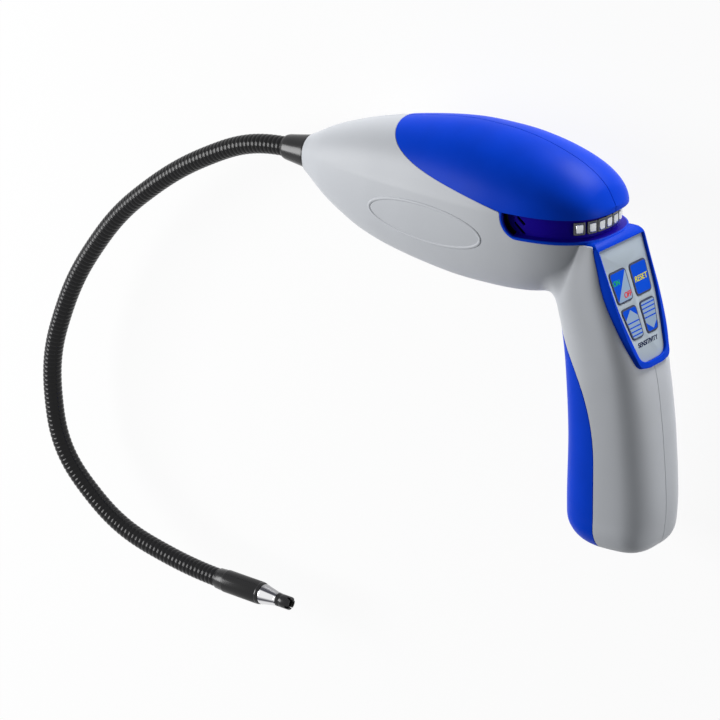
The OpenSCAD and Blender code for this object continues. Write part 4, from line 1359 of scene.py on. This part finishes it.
class DETECTOR_OT_probe(bpy.types.Operator):
    """Rubber boot at the nose and the parts of the probe's tip"""
    bl_idname = "detector.probe"
    bl_label = "Boot and tip"

    def execute(self, context):
        satin = finish("black satin")
        boot = [(-12, 5.1), (-12, 5.5), (-11.7, 5.9), (-11, 6.2), (-10, 6.5), (-6, 7.1), (-2, 7.75), (2, 8.4),
                (NOSE_CUT, 8.7), (NOSE_CUT + 1, 8.3), (NOSE_CUT + 1, 5.1)]
        show(turned_piece("boot", boot, (0, 0), 0, satin), "housing", "black_rubber", "probe_boot")
        x, y, h = neck_pivot(len(NECK_BENDS))
        c, s = cos_sin(h)
        at = (x - TIP_BACK * c, y - TIP_BACK * s)
        r, n = FERRULE_D / 2, FERRULE_LEN
        sleeve = [(0, 5), (0, 5.3), (0.25, 5.45), (4.6, 5.75), (5.0, 5.85), (5.3, 6), (5.6, 6), (n - 2.2, r),
                  (n - 2.0, r - 0.12), (n - 1.8, r - 0.12), (n - 1.6, r), (n - 0.9, r - 0.1),
                  (n - 0.2, r - 0.3), (n, r - 0.6), (n, 5), (n - 1, 4.2), (n - 8, 4.05), (n - 8, 4.4),
                  (8, 4.4), (8, 5)]
        show(turned_piece("sleeve_tip", sleeve, at, h, satin), "neck_8", "black_plastic", "tip_ferrule")
        m, d = n + HOLDER_LEN, HOLDER_D / 2
        cone = [(n - 6, 2.3), (n - 6, 4), (n, 4), (n, 5.2), (n + 0.3, 5.3), (n + 1.6, 5.3), (n + 1.8, 5.15),
                (m - 1.4, d + 0.05), (m - 1.2, d - 0.1), (m - 0.9, d - 0.1), (m - 0.7, d + 0.05), (m - 0.1, d),
                (m, d - 0.2), (m, 2.3)]
        made = turned_piece("cone", cone, at, h, plated(), 120)
        self.streaks(made, at, c, s)
        show(made, "neck_8", "chrome", "sensor_holder")
        self.cap(at, h, m, satin)
        return {"FINISHED"}

    def streaks(self, made, at, c, s):
        """Painted reflection on the plating: its colour darkened in bands by the angle round the cone."""
        p = np.array([v.co for v in made.data.vertices]) / MM - NOSE - (*at, 0)
        turn = np.degrees(np.arctan2(p[:, 2], p[:, 1] * c - p[:, 0] * s))
        set_mask(made, "streak", np.interp(turn, *zip(*REFLECTION_BANDS)))

    def cap(self, at, h, d, satin):
        """Notched cap: a ring wall with four teeth."""
        r, end = CAP_D / 2, d + CAP_LEN
        profile = [(d + 0.05, CAP_BORE), (d + 0.05, r - 0.2), (d + 0.25, r), (d + 1.6, r), (d + 1.8, r - 0.12),
                   (d + 2.1, r - 0.12), (d + 2.3, r), (end - 4.6, r), (end - 4.5, r), (end - 0.6, r - 0.05),
                   (end - 0.15, r - 0.35), (end, r - 0.75), (end, CAP_BORE), (end - 4.5, CAP_BORE)]
        made = turned_piece("cap", profile, at, h, satin, 96)
        axis, up, left = tip_axes(h)
        base = np.array([at[0], at[1], 0]) + axis * (end - NOTCH_DEEP)
        faces = [(0, 1, 3, 2), (4, 6, 7, 5), (0, 4, 5, 1), (2, 3, 7, 6), (0, 2, 6, 4), (1, 5, 7, 3)]
        for turn in (NOTCH_TURN, NOTCH_TURN + 90):
            c, s = cos_sin(turn)
            across, aside = up * c + left * s, -up * s + left * c
            box = [base + axis * e * 8 + across * f * 6 + aside * g * NOTCH_HALF
                   for e in (0, 1) for f in (-1, 1) for g in (-1, 1)]
            block = linked("notch", solid(to_row(box), faces))
            outward(block.data)
            outward(made.data)
            mod = made.modifiers.new("notch", "BOOLEAN")
            mod.operation, mod.solver, mod.object = "DIFFERENCE", "EXACT", block
            settled(made)
            dropped(block)
        made.data.materials.clear()
        made.data.materials.append(satin)
        made.data.polygons.foreach_set("material_index", [0] * len(made.data.polygons))
        shaded(made.data, 35)
        show(made, "neck_8", "black_plastic", "sensor_cap")


class DETECTOR_OT_stage(bpy.types.Operator):
    """Camera, floor and light"""
    bl_idname = "detector.stage"
    bl_label = "Stage"

    def execute(self, context):
        scene = context.scene
        scene.view_settings.view_transform = "Standard"
        camera = linked("camera", bpy.data.cameras.new("camera"))
        camera.data.sensor_width = CAMERA_SENSOR
        camera.data.lens = CAMERA_LENS
        camera.data.clip_start, camera.data.clip_end = 0.1, 20
        turn = Matrix((VIEW_RIGHT, VIEW_UP, VIEW_BACK)).transposed()
        camera.matrix_world = Matrix.LocRotScale(Vector(to_row(CAMERA_AT)), turn, None)
        scene.camera = camera
        middle = (CAD_LOW + CAD_HIGH) / 2
        for name, place, size, watts in LIGHTS:
            lamp = bpy.data.lights.new(name, "AREA")
            lamp.size = size
            lamp.energy = watts
            made = linked(name, lamp)
            made.location = middle + place
            made.rotation_euler = (-place).to_track_quat("-Z", "Y").to_euler()
        floor = bpy.data.meshes.new("floor")
        e = FLOOR_HALF
        floor.from_pydata([(-e, -e, 0), (e, -e, 0), (e, e, 0), (-e, e, 0)], [], [(0, 1, 2, 3)])
        floor.materials.append(self.backdrop(
            bpy.data.materials.new("paper"), "ShaderNodeOutputMaterial", FLOOR_WHITE,
            ("ShaderNodeBsdfDiffuse", {"Color": (0.9, 0.9, 0.9, 1)}),
            ("ShaderNodeEmission", {"Color": (1, 1, 1, 1), "Strength": 1.0})))
        made = linked("floor", floor)
        made.visible_shadow = False
        scene.world = self.backdrop(
            bpy.data.worlds.new("surround"), "ShaderNodeOutputWorld", 1.0,
            ("ShaderNodeBackground", {"Color": (0.92, 0.96, 1, 1), "Strength": 0.12}),
            ("ShaderNodeBackground", {"Color": (1, 1, 1, 1), "Strength": 1.0}))
        return {"FINISHED"}

    def backdrop(self, owner, output, share, plain, white):
        """White, by a share, to rays that show the background: straight, mirrored or through glass."""
        owner.use_nodes = True
        tree = owner.node_tree
        tree.nodes.clear()
        path = tree.nodes.new("ShaderNodeLightPath")
        straight, mirror, through = (Sock(tree, path.outputs[f"Is {kind} Ray"])
                                     for kind in ("Camera", "Glossy", "Transmission"))
        seen = straight.math("MAXIMUM", straight.math("MAXIMUM", straight, mirror), through)
        shaders = [seen.node(kind, **values) for kind, values in (plain, white)]
        mixed = seen.node("ShaderNodeMixShader", i0=seen * share, i1=shaders[0], i2=shaders[1])
        tree.links.new(mixed.socket, tree.nodes.new(output).inputs["Surface"])
        return owner


OPERATORS = (DETECTOR_OT_stage, DETECTOR_OT_housing, DETECTOR_OT_door, DETECTOR_OT_console,
             DETECTOR_OT_keypad, DETECTOR_OT_lamps, DETECTOR_OT_badges, DETECTOR_OT_gooseneck,
             DETECTOR_OT_probe, DETECTOR_OT_inside)


class DETECTOR_PT_panel(bpy.types.Panel):
    """Lists the detector's steps"""
    bl_idname = "DETECTOR_PT_panel"
    bl_label = "Leak detector"
    bl_space_type = "VIEW_3D"
    bl_region_type = "UI"
    bl_category = "Detector"

    def draw(self, context):
        for kind in OPERATORS:
            self.layout.operator(kind.bl_idname)


CLASSES = (DetectorSizes, DetectorColours, *OPERATORS, DETECTOR_PT_panel)


def register():
    for kind in CLASSES:
        bpy.utils.register_class(kind)
    bpy.types.Scene.detector_sizes = bpy.props.PointerProperty(type=DetectorSizes)
    bpy.types.Scene.detector_colours = bpy.props.PointerProperty(type=DetectorColours)


def unregister():
    del bpy.types.Scene.detector_sizes
    del bpy.types.Scene.detector_colours
    for kind in reversed(CLASSES):
        bpy.utils.unregister_class(kind)


def main():
    register()
    bpy.ops.detector.stage()
    bpy.ops.detector.housing()
    bpy.ops.detector.door()
    bpy.ops.detector.console()
    bpy.ops.detector.keypad()
    bpy.ops.detector.lamps()
    bpy.ops.detector.badges()
    bpy.ops.detector.gooseneck()
    bpy.ops.detector.probe()
    bpy.ops.detector.inside()


if __name__ == "__main__":
    main()
